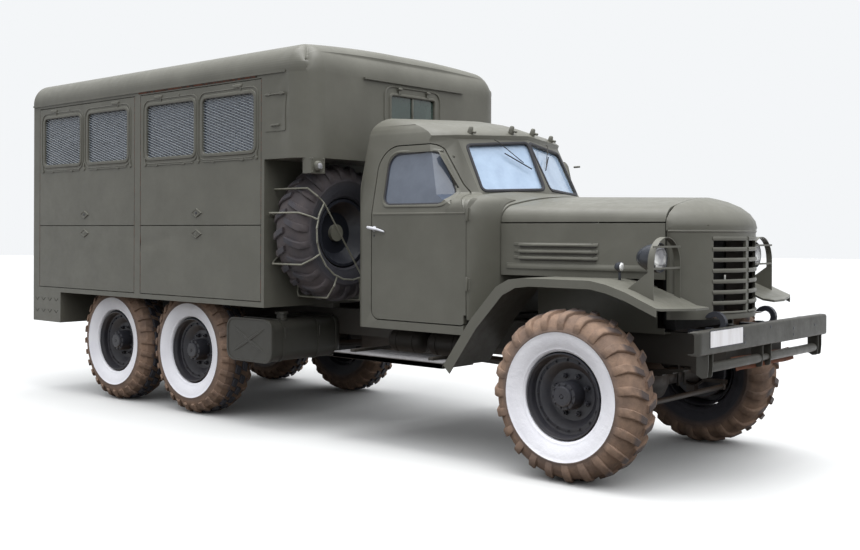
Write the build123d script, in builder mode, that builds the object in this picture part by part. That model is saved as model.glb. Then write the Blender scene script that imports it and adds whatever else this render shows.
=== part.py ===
"""Six-wheel-drive military truck with a normal-control cab and a workshop box body.

Millimetres. +X is forward, +Y is the truck's left, +Z is up and the ground is z = 0.
The origin is under the middle of the truck's overall length and width.
"""
import os
from math import cos, hypot, radians, sin

from build123d import *

os.makedirs("parts", exist_ok=True)

# ---------------------------------------------------------------- driving dimensions
FRONT_AXLE = 2600  # x of the front axle; other x places below are given from it
WHEELBASE = 3665
BOGIE_SPREAD = 1120
MID_AXLE = FRONT_AXLE - WHEELBASE
REAR_AXLE = MID_AXLE - BOGIE_SPREAD
BOGIE_X = (MID_AXLE + REAR_AXLE) / 2

TYRE_R = 525  # to the tips of the lugs
TYRE_W = 322
HUB_Z = TYRE_R
HALF_TRACK = 876
RIM_R = 260
WHEEL_SIDES = 24  # flats round a tyre or rim
KINGPIN_Y = 672

RAIL_OUT = 400  # outer face of each frame rail
RAIL_W = 75
RAIL_Z0, RAIL_Z1 = 700, 900
RAIL_T = 8

BODY_HALF = 1160  # box body half-width
BODY_REAR = FRONT_AXLE - 5950
BODY_FRONT = FRONT_AXLE - 2560  # lower front wall
BODY_NOSE = FRONT_AXLE - 2100  # front wall of the overhang above the spare wheel
BODY_Z0 = 940
FLOOR_Z0, FLOOR_TOP = 1090, 1130
OVERHANG_Z = 2055
EAVE_Z = 2690
CROWN_Z = 2945
WALL = 40

CAB_HALF = 870
CAB_REAR = FRONT_AXLE - 1880
CAB_Z0 = 827
BELT_Z = 1640
CAB_WALL = 35

HOOD_SEAM_Z = 1560
FENDER_OUT = 950
BUMPER_X = FRONT_AXLE + 867
GAP = 6  # running gap round doors, flaps and hood


def block(x0, x1, y0, y1, z0, z1, mode=Mode.ADD):
    """A box between two opposite corners."""
    with Locations(((x0 + x1) / 2, (y0 + y1) / 2, (z0 + z1) / 2)):
        Box(abs(x1 - x0), abs(y1 - y0), abs(z1 - z0), mode=mode)


def rod(start, end, radius, mode=Mode.ADD):
    """A round bar between two points."""
    axis = Vector(*end) - Vector(*start)
    plane = Plane(origin=start, z_dir=axis)
    with Locations(plane.location):
        Cylinder(radius, axis.length, align=(Align.CENTER, Align.CENTER, Align.MIN), mode=mode)


def lathe(origin, axis, steps, sides, mode=Mode.ADD):
    """A turned form with flats: steps are (distance along the axis, radius)."""
    rings = []
    for distance, radius in steps:
        plane = Plane(origin=Vector(*origin) + Vector(*axis) * distance, z_dir=axis)
        angles = [radians(360 * corner / sides) for corner in range(sides)]
        rings.append([plane.from_local_coords((radius * cos(a), radius * sin(a), 0)) for a in angles])
    flats = [Face(Wire.make_polygon(rings[0])), Face(Wire.make_polygon(rings[-1]))]
    for ring, following in zip(rings, rings[1:]):
        for corner in range(sides):
            after = (corner + 1) % sides
            flats.append(Face(Wire.make_polygon([ring[corner], ring[after], following[after], following[corner]])))
    add(Solid(Shell(flats)), mode=mode)


def bars(points, radius):
    """A run of six-sided bars from point to point, in millimetres."""
    for start, end in zip(points, points[1:]):
        run = Vector(*end) - Vector(*start)
        lathe(start, run.normalized(), [(-radius * 0.3, radius), (run.length + radius * 0.3, radius)], 6)


# ---------------------------------------------------------------- wheels
# name, x of the hub, side (+1 left, -1 right), cross-country lugs
WHEELS = [
    ("front_left", FRONT_AXLE, 1, True),
    ("front_right", FRONT_AXLE, -1, True),
    ("middle_left", MID_AXLE, 1, False),
    ("middle_right", MID_AXLE, -1, False),
    ("rear_left", REAR_AXLE, 1, False),
    ("rear_right", REAR_AXLE, -1, False),
]
# tyre section: distance from the middle plane, radius
TYRE_SECTION = [(-122, 285), (-161, 395), (-146, 470), (-112, 500),
                (112, 500), (146, 470), (161, 395), (122, 285)]
LUGS_A_SIDE = 14
LUG_TILT = 32
LUG_LENGTH, LUG_WIDTH, LUG_DEPTH = 140, 46, 38

TYRE_BORE = [(-130, RIM_R + 4), (130, RIM_R + 4)]

# one tyre about its own centre, axis along Y, which every wheel repeats
with BuildPart() as bold_tyre:
    lathe((0, 0, 0), (0, 1, 0), TYRE_SECTION, WHEEL_SIDES)
    lathe((0, 0, 0), (0, 1, 0), TYRE_BORE, WHEEL_SIDES, Mode.SUBTRACT)
    spots = []
    for row in (-1, 1):
        for index in range(LUGS_A_SIDE):
            angle = radians(360 * (index + (row + 1) / 4) / LUGS_A_SIDE)
            outward = Vector(cos(angle), 0, sin(angle))
            middle = outward * (TYRE_R - LUG_DEPTH / 2) + Vector(0, row * 68, 0)
            spot = Plane(origin=middle, x_dir=(0, 1, 0), z_dir=outward)
            spots.append(spot.location * Rotation(0, 0, row * LUG_TILT))
    with Locations(*spots):
        Box(LUG_LENGTH, LUG_WIDTH, LUG_DEPTH)

with BuildPart() as plain_tyre:
    steps = [(y, radius if radius < 500 else TYRE_R) for y, radius in TYRE_SECTION]
    lathe((0, 0, 0), (0, 1, 0), steps, WHEEL_SIDES)
    lathe((0, 0, 0), (0, 1, 0), TYRE_BORE, WHEEL_SIDES, Mode.SUBTRACT)

# rim and disc as one steel piece, with its outer side to +Y; road wheels add the brake drum and hub
DISC_IN, DISC_OUT = -8, 57  # inner and outer reach of the dished disc
DRUM_IN, DRUM_R = -105, 205
HUB_OUT, HUB_R = 127, 95
with BuildPart() as disc_rim:
    lathe((0, 0, 0), (0, 1, 0), [(-112, RIM_R), (112, RIM_R)], WHEEL_SIDES)
    lathe((0, 0, 0), (0, 1, 0), [(-112, RIM_R - 22), (DISC_IN, RIM_R - 22)], WHEEL_SIDES, Mode.SUBTRACT)
    lathe((0, 0, 0), (0, 1, 0), [(DISC_IN + 14, 160), (DISC_OUT, RIM_R - 60), (112, RIM_R - 22)],
          WHEEL_SIDES, Mode.SUBTRACT)

with BuildPart() as road_rim:
    add(disc_rim.part)
    lathe((0, 0, 0), (0, 1, 0), [(DRUM_IN, DRUM_R), (DISC_IN + 1, DRUM_R)], 16)
    lathe((0, 0, 0), (0, 1, 0), [(DISC_IN, HUB_R), (HUB_OUT - 20, HUB_R - 10), (HUB_OUT, HUB_R - 35)], 12)

for name, hub_x, side, lugs in WHEELS:
    spot = Location((hub_x, side * HALF_TRACK, HUB_Z), (0, 0, 0 if side > 0 else 180))
    with BuildPart() as tyre:
        with Locations(spot):
            add(bold_tyre.part if lugs else plain_tyre.part)
    tyre.part.label = f"tyre_{name}"
    export_step(tyre.part, f"parts/tyre_{name}.step")
    with BuildPart() as rim:
        with Locations(spot):
            add(road_rim.part)
    rim.part.label = f"rim_{name}"
    export_step(rim.part, f"parts/rim_{name}.step")

# ---------------------------------------------------------------- frame and axles
RAIL_REAR, RAIL_FRONT = -3367, BUMPER_X - 100
RAIL_IN = RAIL_OUT - RAIL_W
# x and height range of each crossmember between the rails
CROSSMEMBERS = [
    (RAIL_FRONT - 60, 720, 880),
    (600, 800, 880),
    (-500, 800, 880),
    (BOGIE_X - 30, 800, 880),
    (RAIL_REAR, 720, 880),
]
PINTLE_X, PINTLE_Z = -3467, 800
with BuildPart() as frame:
    for side in (-1, 1):
        block(RAIL_REAR, RAIL_FRONT, side * RAIL_IN, side * RAIL_OUT, RAIL_Z0, RAIL_Z1)
        block(RAIL_REAR, RAIL_FRONT, side * RAIL_IN, side * (RAIL_OUT - RAIL_T),
              RAIL_Z0 + RAIL_T, RAIL_Z1 - RAIL_T, Mode.SUBTRACT)
    for x, z0, z1 in CROSSMEMBERS:
        block(x, x + 60, -RAIL_OUT + RAIL_T, RAIL_OUT - RAIL_T, z0, z1)
frame.part.label = "frame"
export_step(frame.part, "parts/frame.step")

# pintle hook on the rear crossmember and two front hooks on the rail ends, all black iron
HOOK_X = FRONT_AXLE + 700
with BuildPart() as tow_hooks:
    block(RAIL_REAR - 20, RAIL_REAR, -80, 80, PINTLE_Z - 70, PINTLE_Z + 70)
    with BuildSketch(Plane.XZ.offset(-20)):
        with Locations((RAIL_REAR - 55, PINTLE_Z)):
            Circle(45)
            Circle(22, mode=Mode.SUBTRACT)
    extrude(amount=40)
    for side in (-1, 1):
        block(HOOK_X - 190, HOOK_X - 20, side * 330, side * 390, RAIL_Z1, RAIL_Z1 + 24)
        with BuildSketch(Plane.XZ.offset(side * 360 - 16)):
            with Locations((HOOK_X - 20, RAIL_Z1 + 70)):
                RegularPolygon(71, 18)
                RegularPolygon(38, 14, mode=Mode.SUBTRACT)
            with Locations((HOOK_X - 80, RAIL_Z1 + 70)):
                Rectangle(70, 60, mode=Mode.SUBTRACT)
        extrude(amount=32)
tow_hooks.part.label = "tow_hooks"
export_step(tow_hooks.part, "parts/tow_hooks.step")

BUMPER_Z0, BUMPER_Z1 = 826, 967
BUMPER_HALF = 940
ROLLER_Z, ROLLER_R, ROLLER_X = 750, 27, FRONT_AXLE + 842
with BuildPart() as front_bumper:
    block(RAIL_FRONT, BUMPER_X, -BUMPER_HALF, BUMPER_HALF, BUMPER_Z0, BUMPER_Z1)
    block(RAIL_FRONT, BUMPER_X - 8, -BUMPER_HALF + 8, BUMPER_HALF - 8, BUMPER_Z0 + 8, BUMPER_Z1 - 8, Mode.SUBTRACT)
    for side in (-1, 1):
        block(RAIL_FRONT, BUMPER_X - 8, side * RAIL_IN, side * RAIL_OUT, BUMPER_Z0 + 8, RAIL_Z1)
        block(ROLLER_X - 45, ROLLER_X + 20, side * 760, side * 840, 690, BUMPER_Z0)
    rod((ROLLER_X, -760, ROLLER_Z), (ROLLER_X, 760, ROLLER_Z), ROLLER_R)
    block(ROLLER_X - 12, ROLLER_X + 12, -110, 20, ROLLER_Z, BUMPER_Z0)
front_bumper.part.label = "front_bumper"
export_step(front_bumper.part, "parts/front_bumper.step")

WINCH_X, WINCH_Z = FRONT_AXLE + 580, 800
with BuildPart() as winch:
    for side in (-1, 1):
        block(WINCH_X - 100, WINCH_X + 100, side * 230, side * RAIL_IN, RAIL_Z0, RAIL_Z1)
    rod((WINCH_X, -230, WINCH_Z), (WINCH_X, 230, WINCH_Z), 75)
winch.part.label = "winch"
export_step(winch.part, "parts/winch.step")

AXLE_TUBE_R = 60
# differential housing: distance from the middle, radius
DIFF_STEPS = [(-160, 62), (-110, 118), (-45, 148), (45, 148), (110, 118), (160, 62)]
DRUM_FACE = HALF_TRACK - 105  # where each hub begins, from the middle
BALL_R = 95
with BuildPart() as front_axle:
    rod((FRONT_AXLE, -KINGPIN_Y, HUB_Z), (FRONT_AXLE, KINGPIN_Y, HUB_Z), AXLE_TUBE_R)
    lathe((FRONT_AXLE, 0, HUB_Z), (0, 1, 0), DIFF_STEPS, 14)
    lathe((FRONT_AXLE - 90, 0, HUB_Z), (-1, 0, 0), [(0, 110), (70, 100), (170, 62)], 12)
    for side in (-1, 1):
        lathe((FRONT_AXLE, side * KINGPIN_Y, HUB_Z), (0, side, 0),
              [(-86, 25), (-60, 62), (0, 86), (60, 62), (82, 30)], 16)
front_axle.part.label = "front_axle"
export_step(front_axle.part, "parts/front_axle.step")

# knuckle: a cup round the axle's ball end, with the kingpin bosses and the tie-rod arm
ARM_REACH = 235
ARM_Z = 470
# cup's outside and its hollow: distance outward from the kingpin, radius
CUP_OUT = [(-10, 112), (40, 108), (98, 78)]
CUP_IN = [(-11, 98), (40, 90), (88, 40)]
for name, side in (("left", 1), ("right", -1)):
    pin = (FRONT_AXLE, side * KINGPIN_Y, HUB_Z)
    with BuildPart() as knuckle:
        lathe(pin, (0, side, 0), CUP_OUT, 16)
        lathe(pin, (0, side, 0), CUP_IN, 16, Mode.SUBTRACT)
        block(FRONT_AXLE + 80, FRONT_AXLE + ARM_REACH + 25, side * (KINGPIN_Y - 18), side * (KINGPIN_Y + 18),
              ARM_Z - 12, ARM_Z + 12)
        for z0, z1 in ((HUB_Z - 140, HUB_Z - 98), (HUB_Z + 98, HUB_Z + 140)):
            block(FRONT_AXLE - 30, FRONT_AXLE + 30, side * (KINGPIN_Y - 30), side * (KINGPIN_Y + 30), z0, z1)
    knuckle.part.label = f"knuckle_{name}"
    export_step(knuckle.part, f"parts/knuckle_{name}.step")

TIE_Z = ARM_Z - 12 - 22
with BuildPart() as tie_rod:
    x = FRONT_AXLE + ARM_REACH
    rod((x, -KINGPIN_Y + 20, TIE_Z), (x, KINGPIN_Y - 20, TIE_Z), 18)
    for side in (-1, 1):
        rod((x, side * KINGPIN_Y, TIE_Z - 20), (x, side * KINGPIN_Y, ARM_Z - 13), 20)
tie_rod.part.label = "tie_rod"
export_step(tie_rod.part, "parts/tie_rod.step")

with BuildPart() as rear_axles:
    for x in (MID_AXLE, REAR_AXLE):
        rod((x, -DRUM_FACE + 1, HUB_Z), (x, DRUM_FACE - 1, HUB_Z), AXLE_TUBE_R)
        lathe((x, 0, HUB_Z), (0, 1, 0), DIFF_STEPS, 14)
        lathe((x + 90, 0, HUB_Z), (1, 0, 0), [(0, 110), (70, 100), (150, 62)], 12)
rear_axles.part.label = "rear_axles"
export_step(rear_axles.part, "parts/rear_axles.step")

# leaf springs: a bowed pack under each rail
SPRING_Y0, SPRING_Y1 = 330, 395
FRONT_SPRING_HALF = 560
with BuildPart() as leaf_springs:
    for side in (-1, 1):
        y0, y1 = sorted((side * SPRING_Y0, side * SPRING_Y1))
        with BuildSketch(Plane.XZ.offset(-y1)):
            with BuildLine():
                upper = ThreePointArc((FRONT_AXLE - FRONT_SPRING_HALF, 690), (FRONT_AXLE, 640),
                                      (FRONT_AXLE + FRONT_SPRING_HALF, 690))
                lower = ThreePointArc(upper @ 0 - (0, 14), (FRONT_AXLE, HUB_Z + AXLE_TUBE_R), upper @ 1 - (0, 14))
                Line(upper @ 0, lower @ 0)
                Line(upper @ 1, lower @ 1)
            make_face()
        extrude(amount=y1 - y0)
        for x in (FRONT_AXLE - FRONT_SPRING_HALF, FRONT_AXLE + FRONT_SPRING_HALF):
            block(x - 25, x + 25, y0, y1, 672, RAIL_Z0)
        with BuildSketch(Plane.XZ.offset(-y1)):
            with BuildLine():
                upper = ThreePointArc((REAR_AXLE - 60, 606), (BOGIE_X, 685), (MID_AXLE + 60, 606))
                lower = ThreePointArc(upper @ 0 - (0, 20), (BOGIE_X, 600), upper @ 1 - (0, 20))
                Line(upper @ 0, lower @ 0)
                Line(upper @ 1, lower @ 1)
            make_face()
        extrude(amount=y1 - y0)
        block(BOGIE_X - 90, BOGIE_X + 90, y0, y1, 660, RAIL_Z0)
leaf_springs.part.label = "leaf_springs"
export_step(leaf_springs.part, "parts/leaf_springs.step")

# ---------------------------------------------------------------- power train
ENGINE_X0, ENGINE_X1 = FRONT_AXLE - 680, FRONT_AXLE + 300
with BuildPart() as engine:
    block(ENGINE_X0, ENGINE_X1, -200, 200, 905, 1420)
    block(ENGINE_X0, ENGINE_X1, -170, 170, 760, 905)
engine.part.label = "engine"
export_step(engine.part, "parts/engine.step")

GEARBOX_X0, TRANSFER_X = FRONT_AXLE - 1300, 300
with BuildPart() as driveline:
    block(GEARBOX_X0, ENGINE_X0, -150, 150, 620, 815)
    block(TRANSFER_X - 180, TRANSFER_X + 180, -190, 150, 560, 790)
    rod((GEARBOX_X0, 0, 700), (TRANSFER_X + 180, 0, 700), 35)
    rod((FRONT_AXLE - 260, 0, HUB_Z), (TRANSFER_X + 180, -110, 600), 30)
    rod((TRANSFER_X - 180, 0, 600), (MID_AXLE + 240, 0, HUB_Z), 30)
    rod((TRANSFER_X - 180, 0, 740), (MID_AXLE, 0, 715), 25)
    rod((MID_AXLE, 0, 715), (REAR_AXLE + 240, 0, HUB_Z + 10), 25)
    block(MID_AXLE - 40, MID_AXLE + 40, -45, 45, HUB_Z + 140, 730)
    add(front_axle.part, mode=Mode.SUBTRACT)
    add(rear_axles.part, mode=Mode.SUBTRACT)
driveline.part.label = "driveline"
export_step(driveline.part, "parts/driveline.step")

EXHAUST_Y, EXHAUST_Z = 270, 640
with BuildPart() as exhaust:
    rod((1500, EXHAUST_Y, EXHAUST_Z), (200, EXHAUST_Y, EXHAUST_Z), 28)
    lathe((200, EXHAUST_Y, EXHAUST_Z), (-1, 0, 0), [(0, 80), (600, 80)], 16)
    rod((-400, EXHAUST_Y, EXHAUST_Z), (-800, EXHAUST_Y, EXHAUST_Z), 28)
exhaust.part.label = "exhaust"
export_step(exhaust.part, "parts/exhaust.step")

# fuel tank lies across the frame with its pressed end to the right
TANK_X, TANK_Z = FRONT_AXLE - 2790, 680
TANK_LONG, TANK_HIGH = 520, 320
with BuildPart() as fuel_tank:
    with BuildSketch(Plane.XZ.offset(410)):
        with Locations((TANK_X, TANK_Z)):
            RectangleRounded(TANK_LONG, TANK_HIGH, 90)
    extrude(amount=700)
    rod((TANK_X + 170, -930, TANK_Z + 150), (TANK_X + 170, -930, TANK_Z + 215), 38)
fuel_tank.part.label = "fuel_tank"
export_step(fuel_tank.part, "parts/fuel_tank.step")

BOARD_X0, BOARD_X1 = FRONT_AXLE - 2030, FRONT_AXLE - 980
with BuildPart() as running_boards:
    for side in (-1, 1):
        block(BOARD_X0, BOARD_X1, side * 620, side * 950, 600, 635)
        for x in (BOARD_X0 + 150, BOARD_X1 - 150):
            block(x - 20, x + 20, side * RAIL_OUT, side * 900, 635, 660)
            block(x - 20, x + 20, side * RAIL_OUT, side * (RAIL_OUT + 12), 660, 760)
running_boards.part.label = "running_boards"
export_step(running_boards.part, "parts/running_boards.step")

# ---------------------------------------------------------------- cab
# side profile of the cab on its middle line: x from the front axle, height
CAB_FIREWALL = -760
WINDSCREEN_FOOT = (-784, 1817)
WINDSCREEN_HEAD = (-979, 2191)
BROW_LINE = [(-968, 2218), (-1010, 2248), (-1090, 2282), (-1200, 2312), (-1420, 2354), (-1700, 2385)]
SCREEN_TOE, POST_TOE = (-760, 1700), (-460, 1655)  # where the cowl's slope begins below the screen and post
SCREEN_HALF = 620  # half-width of the screen; the corner post turns back outside it
SCREEN_SWEEP, POST_SWEEP = 0.24, 0.95  # run back for each millimetre outward
SCREEN_DROP = 0.04  # fall for each millimetre outward
CAB_FLOOR = 900


def side_point(x, z):
    """A point of the side profile, x given from the front axle."""
    return (FRONT_AXLE + x, z)


def cab_block(inset, floor_z):
    """Cab or its hollow before the windscreen is cut: side, front and plan outlines intersected."""
    with BuildPart() as form:
        with BuildSketch(Plane.XZ.offset(-1000)):
            with BuildLine():
                rear = Line(side_point(-1880 + inset, floor_z), side_point(-1880 + inset, BELT_Z))
                back = Line(rear @ 1, side_point(-1852 + inset, 2230))
                bend = ThreePointArc(back @ 1, side_point(-1815 + inset * 0.7, 2325 - inset * 0.7),
                                     side_point(-1720, 2370 - inset))
                Polyline(bend @ 1, side_point(CAB_FIREWALL - inset, 2370 - inset),
                         side_point(CAB_FIREWALL - inset, floor_z), rear @ 0)
            make_face()
        extrude(amount=2000)
        with BuildSketch(Plane.YZ.offset(FRONT_AXLE)):
            with BuildLine():
                half = CAB_HALF - inset
                Polyline((0, floor_z), (half, floor_z), (half, BELT_Z), (758 - inset, 2190))
                shoulder = ThreePointArc((758 - inset, 2190), (700 - inset * 0.8, 2305 - inset * 0.8),
                                         (560, 2356 - inset))
                ThreePointArc(shoulder @ 1, (300, 2374 - inset), (0, 2380 - inset))
                Line((0, 2380 - inset), (0, floor_z))
            make_face()
            mirror(about=Plane.YZ)
        extrude(amount=-2400, mode=Mode.INTERSECT)
        with BuildSketch(Plane.XY):
            with BuildLine():
                Polyline(
                    side_point(CAB_FIREWALL - inset, 0),
                    side_point(CAB_FIREWALL - inset, 620 - inset),
                    side_point(-850 - inset, 640 - inset),
                    side_point(-850 - inset, CAB_HALF - inset),
                    side_point(-1800, CAB_HALF - inset),
                )
                corner = ThreePointArc(side_point(-1800, CAB_HALF - inset),
                                       side_point(-1856 + inset * 0.7, CAB_HALF - 24 - inset * 0.7),
                                       side_point(-1880 + inset, CAB_HALF - 80))
                Polyline(corner @ 1, side_point(-1880 + inset, 0), side_point(CAB_FIREWALL - inset, 0))
            make_face()
            mirror(about=Plane.XZ)
        extrude(amount=2600, mode=Mode.INTERSECT)
    return form.part


def screen_air(inset, start, reach, sweep, side, toe):
    """Space ahead of the windscreen and brow and above the toe, swept outward and back from start."""
    back, down = inset * 0.75 + abs(start) * SCREEN_SWEEP, inset * 0.9 + abs(start) * SCREEN_DROP

    def moved(x, z):
        return side_point(x - back, z - down)

    with BuildPart() as air:
        with BuildSketch(Plane.XZ.offset(-start)):
            with BuildLine():
                screen = Polyline(moved(*toe), moved(*WINDSCREEN_FOOT), moved(*WINDSCREEN_HEAD))
                brow = Polyline(screen @ 1, *[moved(x, z) for x, z in BROW_LINE])
                Polyline(brow @ 1, moved(-1700, 2700), moved(600, 2700), moved(600, toe[1]), screen @ 0)
            make_face()
        extrude(amount=reach, dir=(-sweep, side, -SCREEN_DROP))
    return air.part


def cab_solid(inset, floor_z):
    """Outside of the cab, or its hollow when inset."""
    with BuildPart() as cab:
        add(cab_block(inset, floor_z))
        for side in (-1, 1):
            reach = SCREEN_HALF * hypot(1, SCREEN_SWEEP, SCREEN_DROP)
            add(screen_air(inset, 0, reach, SCREEN_SWEEP, side, SCREEN_TOE), mode=Mode.SUBTRACT)
            add(screen_air(inset, side * SCREEN_HALF, 500, POST_SWEEP, side, POST_TOE), mode=Mode.SUBTRACT)
    return cab.part


def hood_outline(half, seam_z, ridge_z, base_z, inset=0):
    """Half section of the hood or cowl, as points for a line, two arcs and two lines."""
    rise = ridge_z - seam_z
    return [
        (half - inset, base_z),
        (half - inset, seam_z),
        (half - 18 - inset * 0.9, seam_z + rise * 0.36 - inset * 0.3),
        (half - 75 - inset * 0.6, seam_z + rise * 0.62 - inset * 0.8),
        (half * 0.45, seam_z + rise * 0.9 - inset),
        (0, ridge_z - inset),
    ]


def cowl_loft(sections, inset=0, mode=Mode.ADD):
    """Whole-width flare of the cowl: sections are (x, half-width, seam z, ridge z, base z)."""
    for side in (-1, 1):
        faces = []
        for x, half, seam_z, ridge_z, base_z in sections:
            with BuildSketch(Plane.YZ.offset(FRONT_AXLE + x)) as section:
                points = hood_outline(half, seam_z, ridge_z, base_z, inset)
                base, seam, knee, turn, crown, ridge = [(side * y, z) for y, z in points]
                with BuildLine():
                    Line(base, seam)
                    ThreePointArc(seam, knee, turn)
                    ThreePointArc(turn, crown, ridge)
                    Polyline(ridge, (0, base_z), base)
                make_face()
            faces.append(section.sketch.face())
        loft(faces, ruled=True, mode=mode)


# hood section where it meets the cowl: x, half-width, seam height, ridge height
HOOD_REAR = (-780, 620, 1576, 1768)
HOOD_TAPER = 0.0934  # each side's run inward for each millimetre forward
HOOD_FALL = 0.018
HOOD_SEAM_FRONT = 420
COWL_SIDE_X, COWL_RIDGE_X = -752, -562
# cowl flare: x, half-width, seam height, ridge height, base height
COWL_SECTIONS = [(-540, 600, 1572, 1764, 1100), (-752, 622, 1577, 1784, 1100), (-852, 869, 1640, 1810, 1100),
                 (-960, 869, 1640, 1816, 1100)]


def hood_side_form(side, inset, base_z=1400):
    """Form under one half of the hood, its section swept along that side's edge."""
    x, half, seam_z, ridge_z = HOOD_REAR
    sweep = Vector(1, -side * HOOD_TAPER, -HOOD_FALL).normalized()
    start = Vector(FRONT_AXLE + x, 0, 0) - sweep * 60
    with BuildPart() as form:
        with BuildSketch(Plane(origin=start, x_dir=(side * HOOD_TAPER, 1, 0), z_dir=sweep)):
            points = hood_outline(half, seam_z, ridge_z, base_z, inset)
            base, seam, knee, turn, crown, ridge = [(side * y, z) for y, z in points]
            with BuildLine():
                Line(base, seam)
                ThreePointArc(seam, knee, turn)
                ThreePointArc(turn, crown, ridge)
                Polyline(ridge, (-side * 300, ridge[1]), (-side * 300, base_z), base)
            make_face()
        extrude(amount=1700)
        block(FRONT_AXLE - 900, FRONT_AXLE + 1000, 0, side * 700, base_z + 40, 1900, Mode.INTERSECT)
    return form.part


with BuildPart() as cowl_cut:
    with BuildSketch(Plane.XY.offset(1050)):
        with BuildLine():
            Polyline(side_point(COWL_RIDGE_X, 0), side_point(COWL_SIDE_X, 620), side_point(COWL_SIDE_X, 1000),
                     side_point(800, 1000), side_point(800, 0), close=True)
        make_face()
        mirror(about=Plane.XZ)
    extrude(amount=900)

# the whole skin of the cab, before doors and windows are cut
with BuildPart() as cab_skin:
    add(cab_solid(0, CAB_Z0))
    cowl_loft(COWL_SECTIONS)
    add(cowl_cut.part, mode=Mode.SUBTRACT)
    block(FRONT_AXLE - 1845, FRONT_AXLE - 700, -835, 835, CAB_Z0, CAB_FLOOR, Mode.SUBTRACT)
    block(CAB_REAR, CAB_REAR + 50, -RAIL_OUT - 8, RAIL_OUT + 8, CAB_Z0, CAB_FLOOR, Mode.SUBTRACT)
    block(FRONT_AXLE - 868, FRONT_AXLE - 500, -1000, 1000, CAB_Z0, 960, Mode.SUBTRACT)
    add(cab_solid(CAB_WALL, CAB_FLOOR + 30), mode=Mode.SUBTRACT)
    cowl_loft([(-530, 599, 1572, 1763, 1080), (-735, 620, 1577, 1782, 1080)], 25, Mode.SUBTRACT)

# outlines seen from the side: x from the front axle, height
DOOR_OUTLINE = [(-1715, 893), (-835, 893), (-850, 1640), (-1025, 1840), (-1198, 2125), (-1715, 2125)]
DOOR_GAP = 8
DOOR_ROUND = [65, 65, 65, 160, 110, 175]  # corner radii, in the same order
DOOR_WINDOW = [(-1625, 1705), (-1000, 1705), (-1178, 2075), (-1625, 2075)]
WINDOW_ROUND = [70, 75, 75, 110]
PANE = 8


def side_outline(points, radii, grow=0):
    """Outline on the side of the cab, each corner rounded to its own radius."""
    with BuildSketch() as outline:
        with BuildLine():
            Polyline(*[side_point(x, z) for x, z in points], close=True)
        make_face()
        for (x, z), radius in zip(points, radii):
            fillet(outline.vertices().sort_by_distance(side_point(x, z))[0], radius)
        if grow:
            offset(amount=grow)
    return outline.sketch


for name, side in (("left", 1), ("right", -1)):
    wall = Plane.XZ.offset(-side * 650)
    with BuildPart() as door:
        add(cab_skin.part)
        extrude(wall * side_outline(DOOR_OUTLINE, DOOR_ROUND), amount=-side * 400, mode=Mode.INTERSECT)
        block(FRONT_AXLE - 1900, FRONT_AXLE - 700, 0, side * (CAB_HALF - CAB_WALL), 880, CAB_FLOOR + 31,
              Mode.SUBTRACT)
        block(FRONT_AXLE - 886, FRONT_AXLE - 800, 0, side * (CAB_HALF - CAB_WALL), 880, 1760, Mode.SUBTRACT)
        extrude(wall * side_outline(DOOR_WINDOW, WINDOW_ROUND), amount=-side * 400, mode=Mode.SUBTRACT)
    door.part.label = f"cab_door_{name}"
    export_step(door.part, f"parts/cab_door_{name}.step")
    with BuildPart() as door_pane:
        add(cab_solid(14, 1400))
        add(cab_solid(14 + PANE, 1400), mode=Mode.SUBTRACT)
        extrude(wall * side_outline(DOOR_WINDOW, WINDOW_ROUND), amount=-side * 400, mode=Mode.INTERSECT)
    door_pane.part.label = f"door_glass_{name}"
    export_step(door_pane.part, f"parts/door_glass_{name}.step")

foot = Vector(FRONT_AXLE + WINDSCREEN_FOOT[0], 0, WINDSCREEN_FOOT[1])
lean = Vector(WINDSCREEN_HEAD[0] - WINDSCREEN_FOOT[0], 0, WINDSCREEN_HEAD[1] - WINDSCREEN_FOOT[1])
# windscreen pane: distance outward from the middle post, distance up from the foot
PANE_OUTLINE = [(36, 6), (606, 6), (610, 372), (36, 396)]
PANE_ROUND = 42


def pane_sketch(side, depth, shrink=0):
    """One windscreen pane's outline, depth below the outer face of the screen."""
    along = Vector(-SCREEN_SWEEP, side, -SCREEN_DROP)
    outward = along.cross(lean) * side
    with BuildSketch(Plane(origin=foot, x_dir=along, z_dir=outward).offset(-depth)) as pane:
        with BuildLine():
            Polyline(*[(out, up * side) for out, up in PANE_OUTLINE], close=True)
        make_face()
        fillet(pane.vertices(), PANE_ROUND)
        if shrink:
            offset(amount=-shrink)
    return pane.sketch


with BuildPart() as cab_shell:
    add(cab_skin.part)
    for side in (-1, 1):
        wall = Plane.XZ.offset(-side * 650)
        extrude(wall * side_outline(DOOR_OUTLINE, DOOR_ROUND, DOOR_GAP), amount=-side * 400, mode=Mode.SUBTRACT)
        extrude(pane_sketch(side, 80), amount=200, mode=Mode.SUBTRACT)
    with BuildSketch(Plane.YZ.offset(CAB_REAR - 50)):
        with Locations((0, 1920)):
            RectangleRounded(700, 280, 60)
    extrude(amount=200, mode=Mode.SUBTRACT)
cab_shell.part.label = "cab_shell"
export_step(cab_shell.part, "parts/cab_shell.step")

# windscreen panes, cab rear window and the body's front window
FRONT_WINDOW = (540, 210, 2490)  # width, height, middle z
with BuildPart() as fixed_glass:
    for side in (-1, 1):
        extrude(pane_sketch(side, 24), amount=PANE)
    with BuildSketch(Plane.YZ.offset(CAB_REAR + 22)):
        with Locations((0, 1920)):
            RectangleRounded(698, 278, 60)
    extrude(amount=-PANE)
    with BuildSketch(Plane.YZ.offset(BODY_NOSE - 16)):
        with Locations((0, FRONT_WINDOW[2])):
            RectangleRounded(FRONT_WINDOW[0] - 2, FRONT_WINDOW[1] - 2, 30)
    extrude(amount=-PANE)
fixed_glass.part.label = "fixed_glass"
export_step(fixed_glass.part, "parts/fixed_glass.step")

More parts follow.
